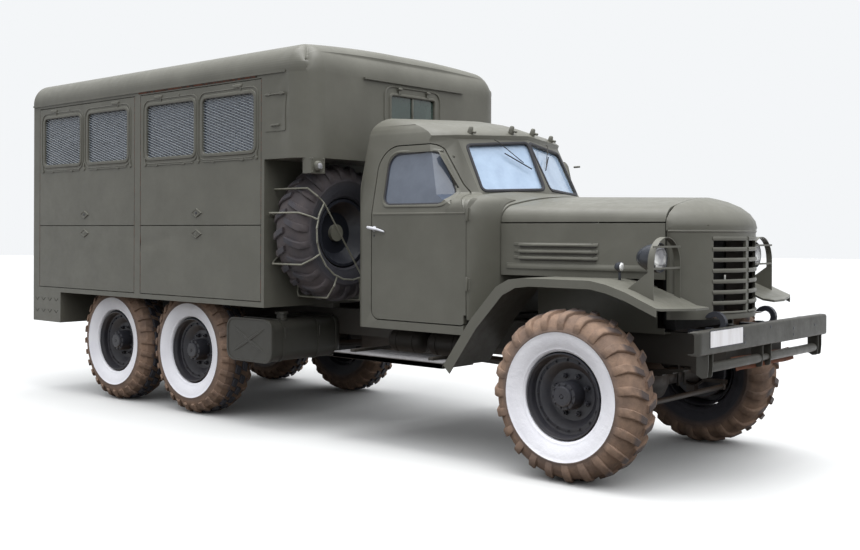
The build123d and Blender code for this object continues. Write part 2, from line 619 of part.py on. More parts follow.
SEAT_X0, SEAT_X1, SEAT_HALF = FRONT_AXLE - 1780, FRONT_AXLE - 1270, 700
with BuildPart() as cab_seat:
    block(SEAT_X0, SEAT_X1 - 60, -SEAT_HALF + 40, SEAT_HALF - 40, CAB_FLOOR + 30, 1180)
    block(SEAT_X0, SEAT_X1, -SEAT_HALF, SEAT_HALF, 1180, 1320)
    with BuildSketch(Plane.XZ.offset(-SEAT_HALF)):
        with BuildLine():
            Polyline((SEAT_X0, 1320), (SEAT_X0 + 140, 1320), (SEAT_X0 + 60, 1790), (SEAT_X0 - 40, 1790), close=True)
        make_face()
    extrude(amount=2 * SEAT_HALF)
cab_seat.part.label = "cab_seat"
export_step(cab_seat.part, "parts/cab_seat.step")

WHEEL_Y = 380  # driver sits on the left
COLUMN_FOOT, COLUMN_TOP = (FRONT_AXLE - 780, WHEEL_Y, 1155), (FRONT_AXLE - 1130, WHEEL_Y, 1500)
with BuildPart() as dashboard:
    block(FRONT_AXLE - 985, FRONT_AXLE - 885, -700, 700, 1500, 1640)
    rod(COLUMN_FOOT, COLUMN_TOP, 22)
    block(FRONT_AXLE - 975, FRONT_AXLE - 945, WHEEL_Y - 30, WHEEL_Y + 30, 1350, 1500)
    block(FRONT_AXLE - CAB_WALL + CAB_FIREWALL, FRONT_AXLE, -800, 800, 1000, 1400, Mode.SUBTRACT)
dashboard.part.label = "dashboard"
export_step(dashboard.part, "parts/dashboard.step")

column = Vector(*COLUMN_TOP) - Vector(*COLUMN_FOOT)
with BuildPart() as steering_wheel:
    wheel_plane = Plane(origin=COLUMN_TOP, z_dir=column).offset(6)
    with BuildSketch(wheel_plane.offset(20)):
        RegularPolygon(215, 20)
        RegularPolygon(190, 20, mode=Mode.SUBTRACT)
        for turn in (0, 120, 240):
            with Locations(Location((0, 0, 0), (0, 0, turn))):
                with Locations((100, 0)):
                    Rectangle(190, 18)
    extrude(amount=22)
    with BuildSketch(wheel_plane):
        RegularPolygon(34, 12)
    extrude(amount=30)
steering_wheel.part.label = "steering_wheel"
export_step(steering_wheel.part, "parts/steering_wheel.step")

# ---------------------------------------------------------------- hood, nose and fenders
HOOD_T = 16
with BuildPart() as hood_area:
    with BuildSketch(Plane.XY.offset(HOOD_SEAM_Z + 22)):
        with BuildLine():
            Polyline(side_point(COWL_RIDGE_X + GAP, 0), side_point(COWL_SIDE_X + GAP, 620),
                     side_point(COWL_SIDE_X + GAP, 700), side_point(HOOD_SEAM_FRONT, 700),
                     side_point(HOOD_SEAM_FRONT, 0), close=True)
        make_face()
        mirror(about=Plane.XZ)
    extrude(amount=400)
for name, side in (("left", 1), ("right", -1)):
    with BuildPart() as hood_half:
        add(hood_side_form(side, 0))
        add(hood_side_form(side, HOOD_T, 1390), mode=Mode.SUBTRACT)
        add(hood_area.part, mode=Mode.INTERSECT)
        block(1000, 3400, side * 4, side * 800, 1300, 2000, Mode.INTERSECT)
    hood_half.part.label = f"hood_{name}"
    export_step(hood_half.part, f"parts/hood_{name}.step")

# fixed side panels below the hood, each with three louvres and a pressed bead
SIDE_T = 14
HOOD_SIDE_Z0 = 1228  # top of the fenders
HOOD_SIDE_HALF, SIDE_TAPER = 620, 0.0943  # half-width at the cowl, run inward for each millimetre forward
# raised strips: start and end from the front axle, lowest and highest point, how far they stand proud
SIDE_STRIPS = [(-639, -62, 1429, 1447, 9), (-639, -60, 1385, 1403, 9), (-639, -58, 1342, 1360, 9),
               (-700, 300, 1276, 1310, 7)]


def side_strip(side, x0, x1, z0, z1, proud, thick):
    """Upright strip along one side of the engine bay, proud of the side panel's outer face."""
    near, far = [HOOD_SIDE_HALF - SIDE_TAPER * (x + 746) + proud for x in (x0, x1)]
    with BuildSketch(Plane.XY.offset(z0)) as strip:
        with BuildLine():
            Polyline(side_point(x0, side * near), side_point(x1, side * far),
                     side_point(x1, side * (far - thick)), side_point(x0, side * (near - thick)), close=True)
        make_face()
    extrude(strip.sketch, amount=z1 - z0)


with BuildPart() as hood_sides:
    for side in (-1, 1):
        side_strip(side, -746, HOOD_SEAM_FRONT, HOOD_SIDE_Z0, HOOD_SEAM_Z + 14, 0, SIDE_T)
        for x0, x1, z0, z1, proud in SIDE_STRIPS:
            side_strip(side, x0, x1, z0, z1, proud, proud + 4)
hood_sides.part.label = "hood_sides"
export_step(hood_sides.part, "parts/hood_sides.step")

# nose shell: an upright drum section, half-round in plan, with a domed cap above its lip
NOSE_CENTRE, NOSE_R, NOSE_HALF = FRONT_AXLE + 112, 602, 508
NOSE_T = 18
NOSE_Z0, NOSE_LIP_Z = 985, 1530
SLOT_Z = [1030 + 66 * index for index in range(7)]
SLOT_HIGH, SLOT_REACH = 44, 300


def nose_plan(inset, base):
    """Plan of the nose, closed across at base, given from the front axle."""
    with BuildSketch() as plan:
        with Locations((NOSE_CENTRE, 0)):
            Circle(NOSE_R - inset)
        with Locations((FRONT_AXLE + base + 500, 0)):
            Rectangle(1000, 2 * (NOSE_HALF - inset), mode=Mode.INTERSECT)
    return plan.sketch


# dome profile: distance from the drum's middle, height, share of the skin's thickness taken forward
DOME_LINE = [(0, 1778, 0), (300, 1752, 0), (430, 1716, 0.3), (510, 1680, 0.6), (566, 1638, 0.8), (600, 1590, 1),
             (610, 1548, 1), (602, NOSE_LIP_Z, 1)]


def nose_cap(inset):
    """Domed cap above the lip, or its hollow."""
    with BuildPart() as under:
        for side in (-1, 1):
            add(hood_side_form(side, inset))
    with BuildPart() as cap:
        with BuildSketch(Plane.XZ):
            with BuildLine():
                dome = Polyline(*[(NOSE_CENTRE + reach - inset * lean, z - inset * (1 - lean / 2))
                                  for reach, z, lean in DOME_LINE])
                Polyline(dome @ 1, (NOSE_CENTRE, NOSE_LIP_Z), dome @ 0)
            make_face()
        revolve(axis=Axis((NOSE_CENTRE, 0, 0), (0, 0, 1)))
        block(FRONT_AXLE + 390, FRONT_AXLE + 800, -700, 700, NOSE_LIP_Z, 1900, Mode.INTERSECT)
        add(under.part, mode=Mode.INTERSECT)
    return cap.part


with BuildPart() as grille_shell:
    extrude(Plane.XY.offset(NOSE_Z0) * nose_plan(0, 430), amount=NOSE_LIP_Z - NOSE_Z0)
    extrude(Plane.XY.offset(NOSE_Z0 - 5) * nose_plan(NOSE_T, 410), amount=NOSE_LIP_Z - NOSE_Z0 + 10,
            mode=Mode.SUBTRACT)
    add(nose_cap(0))
    add(nose_cap(NOSE_T), mode=Mode.SUBTRACT)
    block(2900, FRONT_AXLE + HOOD_SEAM_FRONT + GAP, -700, 700, 900, 2000, Mode.SUBTRACT)
    for z in SLOT_Z:
        for side in (-1, 1):
            block(FRONT_AXLE + 560, FRONT_AXLE + 800, side * 18, side * SLOT_REACH, z, z + SLOT_HIGH, Mode.SUBTRACT)
grille_shell.part.label = "grille_shell"
export_step(grille_shell.part, "parts/grille_shell.step")

with BuildPart() as radiator:
    block(FRONT_AXLE + 320, FRONT_AXLE + 400, -340, 340, 905, 1500)
radiator.part.label = "radiator"
export_step(radiator.part, "parts/radiator.step")

# fender line on its outer edge: x from the front axle, height of the top
FENDER_LINE = [(-975, 626), (-750, 940), (-540, 1165), (-440, 1215), (-330, 1228), (160, 1228), (270, 1208),
               (400, 1168), (612, 1080), (690, 1072)]
FENDER_T = 14
FENDER_IN = 470
LIP_T, LIP_DROP = 8, 52  # turned-down outer edge
# lamp guard: a bent flat bar round the lamp, two cross bars and a gusset at its outer leg
GUARD_X0, GUARD_X1, GUARD_T = FRONT_AXLE + 480, FRONT_AXLE + 520, 5
GUARD_Y, GUARD_HALF, GUARD_SPRING, GUARD_FOOT = 665, 165, 1325, 1110
GUARD_BARS_Z = [1305, 1432]


def fender_band(side, inner, outer, drop):
    """Band that follows the fender line, drop deep, between two distances from the middle."""
    y0, y1 = sorted((side * inner, side * outer))
    with BuildSketch(Plane.XZ.offset(-y1)) as band:
        with BuildLine():
            Polyline(*[side_point(x, z) for x, z in FENDER_LINE],
                     *[side_point(x + (drop if x < -300 else 0), z - drop) for x, z in reversed(FENDER_LINE)],
                     close=True)
        make_face()
    extrude(band.sketch, amount=y1 - y0)


def guard_arch(side, half):
    """Front view of a lamp guard's arch, half wide each way."""
    y0, y1 = side * (GUARD_Y - half), side * (GUARD_Y + half)
    with BuildSketch(Plane.YZ.offset(GUARD_X0)) as arch:
        with BuildLine():
            bend = ThreePointArc((y0, GUARD_SPRING), (side * GUARD_Y, GUARD_SPRING + half), (y1, GUARD_SPRING))
            Polyline(bend @ 1, (y1, GUARD_FOOT), (y0, GUARD_FOOT), bend @ 0)
        make_face()
    return arch.sketch


# both lamp guards; their feet reach into the fender
with BuildPart() as lamp_guards:
    for side in (-1, 1):
        extrude(guard_arch(side, GUARD_HALF), amount=GUARD_X1 - GUARD_X0)
        extrude(guard_arch(side, GUARD_HALF - GUARD_T), amount=GUARD_X1 - GUARD_X0, mode=Mode.SUBTRACT)
        for z in GUARD_BARS_Z:
            block(GUARD_X1 - 6, GUARD_X1, side * (GUARD_Y - GUARD_HALF + 1), side * (GUARD_Y + GUARD_HALF - 1),
                  z - 6, z + 6)
        y0, y1 = sorted((side * (GUARD_Y + GUARD_HALF - GUARD_T), side * (GUARD_Y + GUARD_HALF)))
        with BuildSketch(Plane.XZ.offset(-y1)):
            with BuildLine():
                Polyline(side_point(482, 1280), side_point(350, 1184), side_point(482, 1120), close=True)
            make_face()
        extrude(amount=y1 - y0)

with BuildPart() as front_fenders:
    for side in (-1, 1):
        fender_band(side, FENDER_IN, FENDER_OUT, FENDER_T)
        fender_band(side, FENDER_OUT - LIP_T, FENDER_OUT, LIP_DROP)
        y0, y1 = sorted((side * FENDER_IN, side * (FENDER_IN + 10)))
        with BuildSketch(Plane.XZ.offset(-y1)):
            with BuildLine():
                Polyline(*[side_point(x, z - 5) for x, z in FENDER_LINE[2:8]], side_point(400, 900),
                         side_point(-540, 900), close=True)
            make_face()
        extrude(amount=y1 - y0)
        block(FRONT_AXLE - 530, FRONT_AXLE + 400, side * RAIL_OUT, side * (FENDER_IN + 10), 890, 900)
        with BuildSketch(Plane.XY.offset(600)):
            with BuildLine():
                Polyline(side_point(800, side * 480), side_point(800, side * 1000), side_point(560, side * 1000),
                         side_point(600, side * FENDER_OUT), side_point(700, side * 600), close=True)
            make_face()
        extrude(amount=700, mode=Mode.SUBTRACT)
    extrude(Plane.XY.offset(NOSE_Z0 - 60) * nose_plan(0, 350), amount=300, mode=Mode.SUBTRACT)
    add(lamp_guards.part)
front_fenders.part.label = "front_fenders"
export_step(front_fenders.part, "parts/front_fenders.step")

LAMP_X, LAMP_Y, LAMP_Z, LAMP_R = FRONT_AXLE + 470, 665, 1365, 90
MARKER_X, MARKER_Y, MARKER_Z = FRONT_AXLE + 182, 640, 1303  # lens of each small lamp on the fender tops
with BuildPart() as headlamps:
    for side in (-1, 1):
        lathe((MARKER_X, side * MARKER_Y, MARKER_Z), (-1, 0, 0), [(0, 22), (10, 32), (45, 31), (75, 14)], 10)
        rod((MARKER_X - 30, side * MARKER_Y, FENDER_LINE[4][1]), (MARKER_X - 30, side * MARKER_Y, MARKER_Z - 20), 8)
        lathe((LAMP_X, side * LAMP_Y, LAMP_Z), (-1, 0, 0), [(0, LAMP_R), (50, LAMP_R), (110, 62), (150, 25)], 20)
        rod((LAMP_X - 60, side * LAMP_Y, 1150), (LAMP_X - 60, side * LAMP_Y, LAMP_Z - LAMP_R + 20), 16)
    add(front_fenders.part, mode=Mode.SUBTRACT)
    block(LAMP_X - 200, LAMP_X + 50, -800, 800, 1100, 1160, Mode.SUBTRACT)
headlamps.part.label = "headlamps"
export_step(headlamps.part, "parts/headlamps.step")

# ---------------------------------------------------------------- spare wheel
SPARE_X, SPARE_Y, SPARE_Z = FRONT_AXLE - 2352, -635, 1505
STUD_R = 45
spare_spot = Location((SPARE_X, SPARE_Y, SPARE_Z), (0, 0, -90))
with BuildPart() as spare_tyre:
    with Locations(spare_spot):
        add(bold_tyre.part)
spare_tyre.part.label = "spare_tyre"
export_step(spare_tyre.part, "parts/spare_tyre.step")
with BuildPart() as spare_rim:
    with Locations(spare_spot):
        add(disc_rim.part)
spare_rim.part.label = "spare_rim"
export_step(spare_rim.part, "parts/spare_rim.step")

# cage of bent bars round the tyre: a hoop before its front wall, rungs across its tread and a diagonal
CAGE_R = 7
HOOP_X, HOOP_R = 190, 360  # hoop's distance ahead of the tyre's middle, and its radius
HOOP_START, HOOP_END, HOOP_STEPS = 38, -110, 9  # degrees up from straight outward
RUNG_ANGLES = [16, -26, -66, -104]
# one rung: distance ahead of the tyre's middle, radius
RUNG_LINE = [(-212, 430), (-186, 500), (-158, 534), (158, 534), (188, 440), (HOOP_X, HOOP_R)]
TOP_RUNG = [(-212, 534), (158, 534), (188, 440), (HOOP_X, HOOP_R)]


def round_spare(ahead, radius, angle):
    """A point about the spare wheel, angle in degrees up from straight outward."""
    return (SPARE_X + ahead, SPARE_Y - radius * cos(radians(angle)), SPARE_Z + radius * sin(radians(angle)))


# carrier on the box's front wall: a plate, a stub through the disc and its clamp
with BuildPart() as spare_cage:
    turn = (HOOP_END - HOOP_START) / HOOP_STEPS
    hoop = [round_spare(HOOP_X, HOOP_R, HOOP_START + turn * step) for step in range(HOOP_STEPS + 1)]
    bars(hoop, CAGE_R)
    bars([hoop[0], hoop[-1]], CAGE_R)
    bars([round_spare(ahead, radius, HOOP_START) for ahead, radius in TOP_RUNG], CAGE_R)
    for angle in RUNG_ANGLES:
        bars([round_spare(ahead, radius, angle) for ahead, radius in RUNG_LINE], CAGE_R)
    block(BODY_FRONT - 40, BODY_FRONT, SPARE_Y - 700, SPARE_Y + 700, 700, 2300, Mode.SUBTRACT)
    block(BODY_FRONT, BODY_FRONT + 14, SPARE_Y - 170, SPARE_Y + 170, SPARE_Z - 170, SPARE_Z + 170)
    rod((BODY_FRONT + 14, SPARE_Y, SPARE_Z), (SPARE_X + DISC_IN, SPARE_Y, SPARE_Z), STUD_R)
    rod((SPARE_X + DISC_IN + 14, SPARE_Y, SPARE_Z), (SPARE_X + DISC_IN + 44, SPARE_Y, SPARE_Z), STUD_R + 20)
spare_cage.part.label = "spare_cage"
export_step(spare_cage.part, "parts/spare_cage.step")

# ---------------------------------------------------------------- box body
BAYS = [("rear", FRONT_AXLE - 5835, FRONT_AXLE - 4266), ("front", FRONT_AXLE - 4170, FRONT_AXLE - 2600)]
FLAP_SEAM, FLAP_Z0, FLAP_Z1 = 1560, 986, 2662
WINDOW_Z0, WINDOW_Z1 = 2120, 2575
# x range of the two windows of each bay
WINDOWS = {
    "rear": [(FRONT_AXLE - 5750, FRONT_AXLE - 5115), (FRONT_AXLE - 5000, FRONT_AXLE - 4360)],
    "front": [(FRONT_AXLE - 4087, FRONT_AXLE - 3414), (FRONT_AXLE - 3322, FRONT_AXLE - 2670)],
}
DOOR_HALF, DOOR_Z0, DOOR_Z1 = 480, 1010, 2500
SKIRT_X, SKIRT_Z0, SKIRT_T = FRONT_AXLE - 5460, 657, 8  # plates that hang behind the rear wheels
DRIP_Z, DRIP_OUT = 2692, 10  # rain rails along the eaves
HATCH = (FRONT_AXLE - 2543, FRONT_AXLE - 2330, 2260, 2538)  # x range and height range of the side hatch
BOX_LAMP = (FRONT_AXLE - 2190, FRONT_AXLE - 2100, 970, 1109, 1940)  # x range, y range, lowest point


def body_solid(inset, floor_z):
    """Outside of the box body, or its hollow when inset."""
    half = BODY_HALF - inset
    with BuildPart() as form:
        with BuildSketch(Plane.YZ.offset(BODY_REAR + inset)):
            with BuildLine():
                Polyline((0, floor_z), (half, floor_z), (half, EAVE_Z))
                shoulder = ThreePointArc((half, EAVE_Z), (half - 34, EAVE_Z + 146 - inset * 0.6),
                                         (half - 160, EAVE_Z + 222 - inset))
                ThreePointArc(shoulder @ 1, (500, CROWN_Z - 5 - inset), (0, CROWN_Z - inset))
                Line((0, CROWN_Z - inset), (0, floor_z))
            make_face()
            mirror(about=Plane.YZ)
        extrude(amount=BODY_NOSE - BODY_REAR - 2 * inset)
        fillet(form.edges().filter_by(Axis.Z).group_by(Axis.X)[-1], 200 - inset)
        block(BODY_FRONT - inset, BODY_NOSE + 10, -BODY_HALF, BODY_HALF, floor_z - 10, OVERHANG_Z + inset, Mode.SUBTRACT)
    return form.part


with BuildPart() as box_shell:
    add(body_solid(0, BODY_Z0))
    add(body_solid(WALL, FLOOR_TOP), mode=Mode.SUBTRACT)
    block(BODY_REAR + WALL, BODY_FRONT - WALL, WALL - BODY_HALF, BODY_HALF - WALL, BODY_Z0, FLOOR_Z0, Mode.SUBTRACT)
    for name, x0, x1 in BAYS:
        for side in (-1, 1):
            block(x0 - GAP, x1 + GAP, side * 1000, side * 1200, FLAP_Z0 - GAP, FLAP_Z1 + GAP, Mode.SUBTRACT)
    block(BODY_REAR - 10, BODY_REAR + WALL + 10, -DOOR_HALF - GAP, DOOR_HALF + GAP, DOOR_Z0 - GAP, DOOR_Z1 + GAP,
          Mode.SUBTRACT)
    with BuildSketch(Plane.YZ.offset(BODY_NOSE - WALL - 10)):
        with Locations((0, FRONT_WINDOW[2])):
            RectangleRounded(FRONT_WINDOW[0], FRONT_WINDOW[1], 30)
    extrude(amount=WALL + 30, mode=Mode.SUBTRACT)
    for side in (-1, 1):
        block(BODY_REAR + WALL, BODY_FRONT - WALL, side * RAIL_IN, side * RAIL_OUT, RAIL_Z1, FLOOR_Z0)
        block(BODY_REAR, SKIRT_X, side * (BODY_HALF - SKIRT_T), side * BODY_HALF, SKIRT_Z0, BODY_Z0)
        block(BODY_REAR, BODY_REAR + SKIRT_T, side * (RAIL_OUT + 12), side * BODY_HALF, SKIRT_Z0, BODY_Z0)
        block(SKIRT_X - SKIRT_T, SKIRT_X, side * (RAIL_OUT + 12), side * BODY_HALF, SKIRT_Z0, BODY_Z0 + 20)
        block(SKIRT_X - SKIRT_T, SKIRT_X, side * (RAIL_OUT + 12), side * (BODY_HALF - WALL), BODY_Z0, FLOOR_Z0)
        block(BODY_REAR, HATCH[1], side * (BODY_HALF - 5), side * (BODY_HALF + DRIP_OUT), DRIP_Z, DRIP_Z + 16)
        block(BOX_LAMP[0], BOX_LAMP[1], side * BOX_LAMP[2], side * BOX_LAMP[3], BOX_LAMP[4], OVERHANG_Z)
    block(HATCH[0], HATCH[1], -BODY_HALF - 5, -BODY_HALF + 5, HATCH[2], HATCH[3])
    block(BODY_NOSE - 5, BODY_NOSE + 22, -570, 620, EAVE_Z - 10, EAVE_Z + 4)
box_shell.part.label = "box_shell"
export_step(box_shell.part, "parts/box_shell.step")

for bay, x0, x1 in BAYS:
    for name, side in (("left", 1), ("right", -1)):
        with BuildPart() as upper_flap:
            block(x0, x1, side * (BODY_HALF - WALL), side * BODY_HALF, FLAP_SEAM + GAP / 2, FLAP_Z1)
            with BuildSketch(Plane.XZ.offset(-side * 1100)):
                for w0, w1 in WINDOWS[bay]:
                    with Locations(((w0 + w1) / 2, (WINDOW_Z0 + WINDOW_Z1) / 2)):
                        RectangleRounded(w1 - w0, WINDOW_Z1 - WINDOW_Z0, 60)
            extrude(amount=-side * 100, mode=Mode.SUBTRACT)
        upper_flap.part.label = f"upper_flap_{bay}_{name}"
        export_step(upper_flap.part, f"parts/upper_flap_{bay}_{name}.step")
        with BuildPart() as flap_glass:
            with BuildSketch(Plane.XZ.offset(-side * (BODY_HALF - 24))):
                for w0, w1 in WINDOWS[bay]:
                    with Locations(((w0 + w1) / 2, (WINDOW_Z0 + WINDOW_Z1) / 2)):
                        RectangleRounded(w1 - w0 - 2, WINDOW_Z1 - WINDOW_Z0 - 2, 60)
            extrude(amount=-side * PANE)
        flap_glass.part.label = f"flap_glass_{bay}_{name}"
        export_step(flap_glass.part, f"parts/flap_glass_{bay}_{name}.step")
        with BuildPart() as lower_flap:
            block(x0, x1, side * (BODY_HALF - WALL), side * BODY_HALF, FLAP_Z0, FLAP_SEAM - GAP / 2)
        lower_flap.part.label = f"lower_flap_{bay}_{name}"
        export_step(lower_flap.part, f"parts/lower_flap_{bay}_{name}.step")

with BuildPart() as rear_door:
    block(BODY_REAR, BODY_REAR + WALL, -DOOR_HALF, DOOR_HALF, DOOR_Z0, DOOR_Z1)
rear_door.part.label = "rear_door"
export_step(rear_door.part, "parts/rear_door.step")
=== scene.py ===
"""Six-wheel-drive army truck with a workshop box body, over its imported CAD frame. Metres, +X forward, +Y left."""
import math

import bmesh
import bpy
from mathutils import Matrix, Vector, noise
from mathutils.bvhtree import BVHTree


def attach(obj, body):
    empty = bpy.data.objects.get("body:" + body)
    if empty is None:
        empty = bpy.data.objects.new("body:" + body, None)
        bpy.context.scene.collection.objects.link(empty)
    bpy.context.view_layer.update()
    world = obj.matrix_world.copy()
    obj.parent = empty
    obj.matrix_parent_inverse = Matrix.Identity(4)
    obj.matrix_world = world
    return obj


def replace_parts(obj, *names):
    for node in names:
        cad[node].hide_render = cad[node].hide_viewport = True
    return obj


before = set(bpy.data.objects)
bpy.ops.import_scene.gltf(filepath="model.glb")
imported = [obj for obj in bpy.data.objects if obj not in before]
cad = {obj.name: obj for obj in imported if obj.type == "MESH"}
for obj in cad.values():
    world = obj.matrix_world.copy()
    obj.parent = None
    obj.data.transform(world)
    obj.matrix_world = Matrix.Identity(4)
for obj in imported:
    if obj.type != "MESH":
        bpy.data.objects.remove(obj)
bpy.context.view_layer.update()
FRONT_AXLE = 2.6  # x of the front axle; the side views below measure from it

# ------------------------------------------------------------ chassis frame
# Two riveted channel rails with cross members, in black chassis paint that road dust has dulled.
# The same oil paint covers the springs, the running boards and what hangs beside the rails.


def linear(hex_colour):
    """sRGB hex to the linear colour that a shader socket takes."""
    parts = [int(hex_colour[i:i + 2], 16) / 255 for i in (1, 3, 5)]
    return tuple(c / 12.92 if c <= 0.04045 else ((c + 0.055) / 1.055) ** 2.4 for c in parts) + (1,)


def add_node(owner, kind, inputs, **settings):
    """Adds one node to a material, sky or bare tree: its properties, and the values or sockets of its inputs."""
    tree = getattr(owner, "node_tree", owner)
    node = tree.nodes.new(kind)
    for name, value in settings.items():
        setattr(node, name, value)
    for name, value in inputs.items():
        if isinstance(value, bpy.types.NodeSocket):
            tree.links.new(value, node.inputs[name])
        else:
            node.inputs[name].default_value = value
    return node


def new_material(name):
    """Empty node material, with the socket that gives places on its piece."""
    material = bpy.data.materials.new(name)
    material.use_nodes = True
    material.node_tree.nodes.clear()
    return material, add_node(material, "ShaderNodeTexCoord", {}).outputs["Object"]


def surfaced(material, shader):
    """Ends a material with the shader that makes its surface."""
    add_node(material, "ShaderNodeOutputMaterial", {"Surface": shader.outputs[0]})
    return material


def worn_paint(name, paint, faded, dirt, rust, rough, dust_top, chips, waviness=0.12):
    """Oil paint on sheet steel: faded patches, paler on upward faces from sun fading and from painted top light, road
    dust low down, small chips, a faint ripple in the sheet.
    """
    material, place = new_material(name)
    upward = add_node(material, "ShaderNodeSeparateXYZ",
                      {"Vector": add_node(material, "ShaderNodeNewGeometry", {}).outputs["Normal"]}).outputs["Z"]
    height = add_node(material, "ShaderNodeSeparateXYZ", {"Vector": place}).outputs["Z"]
    # patches 400 mm across, mottling 60 mm, brush grain 5 mm
    patches = add_node(material, "ShaderNodeTexNoise", {"Vector": place, "Scale": 2.5, "Detail": 5, "Roughness": 0.6})
    mottle = add_node(material, "ShaderNodeTexNoise", {"Vector": place, "Scale": 16, "Detail": 6, "Roughness": 0.65})
    grain = add_node(material, "ShaderNodeTexNoise", {"Vector": place, "Scale": 200, "Detail": 3})
    # upward faces are painted paler, partly as sun fading and partly as light from above painted into the colour
    sun_fade_and_top_light = add_node(material, "ShaderNodeMapRange", {"Value": upward, "From Min": 0.1, "From Max": 1.0, "To Max": 0.55})
    fade_and_top_light = add_node(material, "ShaderNodeMath", {0: patches.outputs["Fac"], 1: 0.4}, operation="SUBTRACT")
    fade_and_top_light = add_node(material, "ShaderNodeMath", {0: fade_and_top_light.outputs[0], 1: 0.9, 2: sun_fade_and_top_light.outputs["Result"]},
                    operation="MULTIPLY_ADD", use_clamp=True)
    colour = add_node(material, "ShaderNodeMix", {"Factor": fade_and_top_light.outputs[0], 6: linear(paint), 7: linear(faded)},
                      data_type="RGBA")
    low = add_node(material, "ShaderNodeMapRange", {"Value": height, "From Min": dust_top, "From Max": dust_top - 0.9,
                                                    "To Max": 0.5})
    under = add_node(material, "ShaderNodeMapRange", {"Value": upward, "From Min": -0.2, "From Max": -0.9,
                                                      "To Max": 1.4})
    soiled = add_node(material, "ShaderNodeMath", {0: low.outputs["Result"], 1: under.outputs["Result"]},
                      operation="ADD")
    dusty = add_node(material, "ShaderNodeMath", {0: mottle.outputs["Fac"], 1: soiled.outputs[0]},
                     operation="MULTIPLY", use_clamp=True)
    colour = add_node(material, "ShaderNodeMix", {"Factor": dusty.outputs[0], 6: colour.outputs[2], 7: linear(dirt)},
                      data_type="RGBA")
    flakes = add_node(material, "ShaderNodeTexNoise", {"Vector": place, "Scale": 34, "Detail": 8, "Roughness": 0.7})
    flaked = add_node(material, "ShaderNodeMapRange", {"Value": flakes.outputs["Fac"], "From Min": 0.74 - chips,
                                                       "From Max": 0.76 - chips, "To Max": 0.8})
    colour = add_node(material, "ShaderNodeMix", {"Factor": flaked.outputs["Result"], 6: colour.outputs[2],
                                                  7: linear(rust)}, data_type="RGBA")
    gloss = add_node(material, "ShaderNodeMapRange", {"Value": mottle.outputs["Fac"], "From Min": 0.3,
                                                      "From Max": 0.7, "To Min": rough - 0.07, "To Max": rough + 0.1})
    ripple = add_node(material, "ShaderNodeTexNoise", {"Vector": place, "Scale": 3.2, "Detail": 1})
    sheet = add_node(material, "ShaderNodeBump", {"Height": ripple.outputs["Fac"], "Strength": waviness,
                                                  "Distance": 0.05})
    brushed = add_node(material, "ShaderNodeBump", {"Height": grain.outputs["Fac"], "Strength": 0.10,
                                                    "Distance": 0.001, "Normal": sheet.outputs["Normal"]})
    return surfaced(material, add_node(material, "ShaderNodeBsdfPrincipled", {
        "Base Color": colour.outputs[2], "Roughness": gloss.outputs["Result"], "Normal": brushed.outputs["Normal"],
        "Specular IOR Level": 0.35}))


# chassis black gone brown-grey with dust, so it reads darker than the bodywork
chassis_black = worn_paint("chassis_black_paint", "#24221f", "#34302b", "#4d4136", "#3f2a1d", rough=0.62, dust_top=1.1,
                           chips=0.02)


def dress(material, *names):
    """Gives CAD nodes that keep their own mesh one material."""
    for name in names:
        slots = cad[name].data.materials
        slots.clear()
        slots.append(material)


def mesh_from(form, name):
    """Turns a finished bmesh into a mesh with its faces outward."""
    bmesh.ops.recalc_face_normals(form, faces=form.faces)
    mesh = bpy.data.meshes.new(name)
    form.to_mesh(mesh)
    form.free()
    return mesh


def placed(name, data):
    """New object in the scene, at the origin."""
    obj = bpy.data.objects.new(name, data)
    bpy.context.scene.collection.objects.link(obj)
    return obj


def piece(name, shape, material, body, slot=None, angle=35):
    """Finishes a mesh or bmesh as a piece that rides on a body, smooth except at corners past the angle."""
    mesh = mesh_from(shape, name) if isinstance(shape, bmesh.types.BMesh) else shape
    obj = placed(name, mesh)
    mesh.materials.clear()
    mesh.materials.append(material)
    mesh.polygons.foreach_set("use_smooth", [True] * len(mesh.polygons))
    mesh.set_sharp_from_angle(angle=math.radians(angle))
    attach(obj, body)
    return obj


def baked(obj):
    """Plain mesh of an object with its modifiers, or of a curve with its thickness."""
    depsgraph = bpy.context.evaluated_depsgraph_get()
    return bpy.data.meshes.new_from_object(obj.evaluated_get(depsgraph), depsgraph=depsgraph)


def settle(obj):
    """Bakes an object's modifiers into its mesh."""
    mesh = baked(obj)
    obj.modifiers.clear()
    obj.data = mesh


def skin(node, material, body="root", round_edge=0.0, angle=35, smooth=35):
    """Stands for one CAD node: its facets joined, its edges rounded, its curves shaded smooth."""
    form = bmesh.new()
    form.from_mesh(cad[node].data)
    bmesh.ops.remove_doubles(form, verts=form.verts, dist=0.00006)
    bmesh.ops.dissolve_limit(form, angle_limit=math.radians(0.6), verts=form.verts, edges=form.edges)
    mesh = bpy.data.meshes.new(node + "_skin")
    form.to_mesh(mesh)
    form.free()
    obj = piece(node + "_skin", mesh, material, body, angle=smooth)
    if round_edge:
        bevel = obj.modifiers.new("edges", "BEVEL")
        bevel.width = round_edge
        bevel.segments = 2
        bevel.limit_method = "ANGLE"
        bevel.angle_limit = math.radians(angle)
        bevel.harden_normals = True
        settle(obj)
    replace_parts(obj, node)
    return obj


skin("frame", chassis_black, round_edge=0.004)

# ------------------------------------------------------------ axles, springs and power train
# Cast axle housings, propeller shafts and gear cases, greasy castings caked with dried brown road dirt.
# Springs are packs of separate steel leaves under the rails, clamped by U-bolts and painted with the frame.


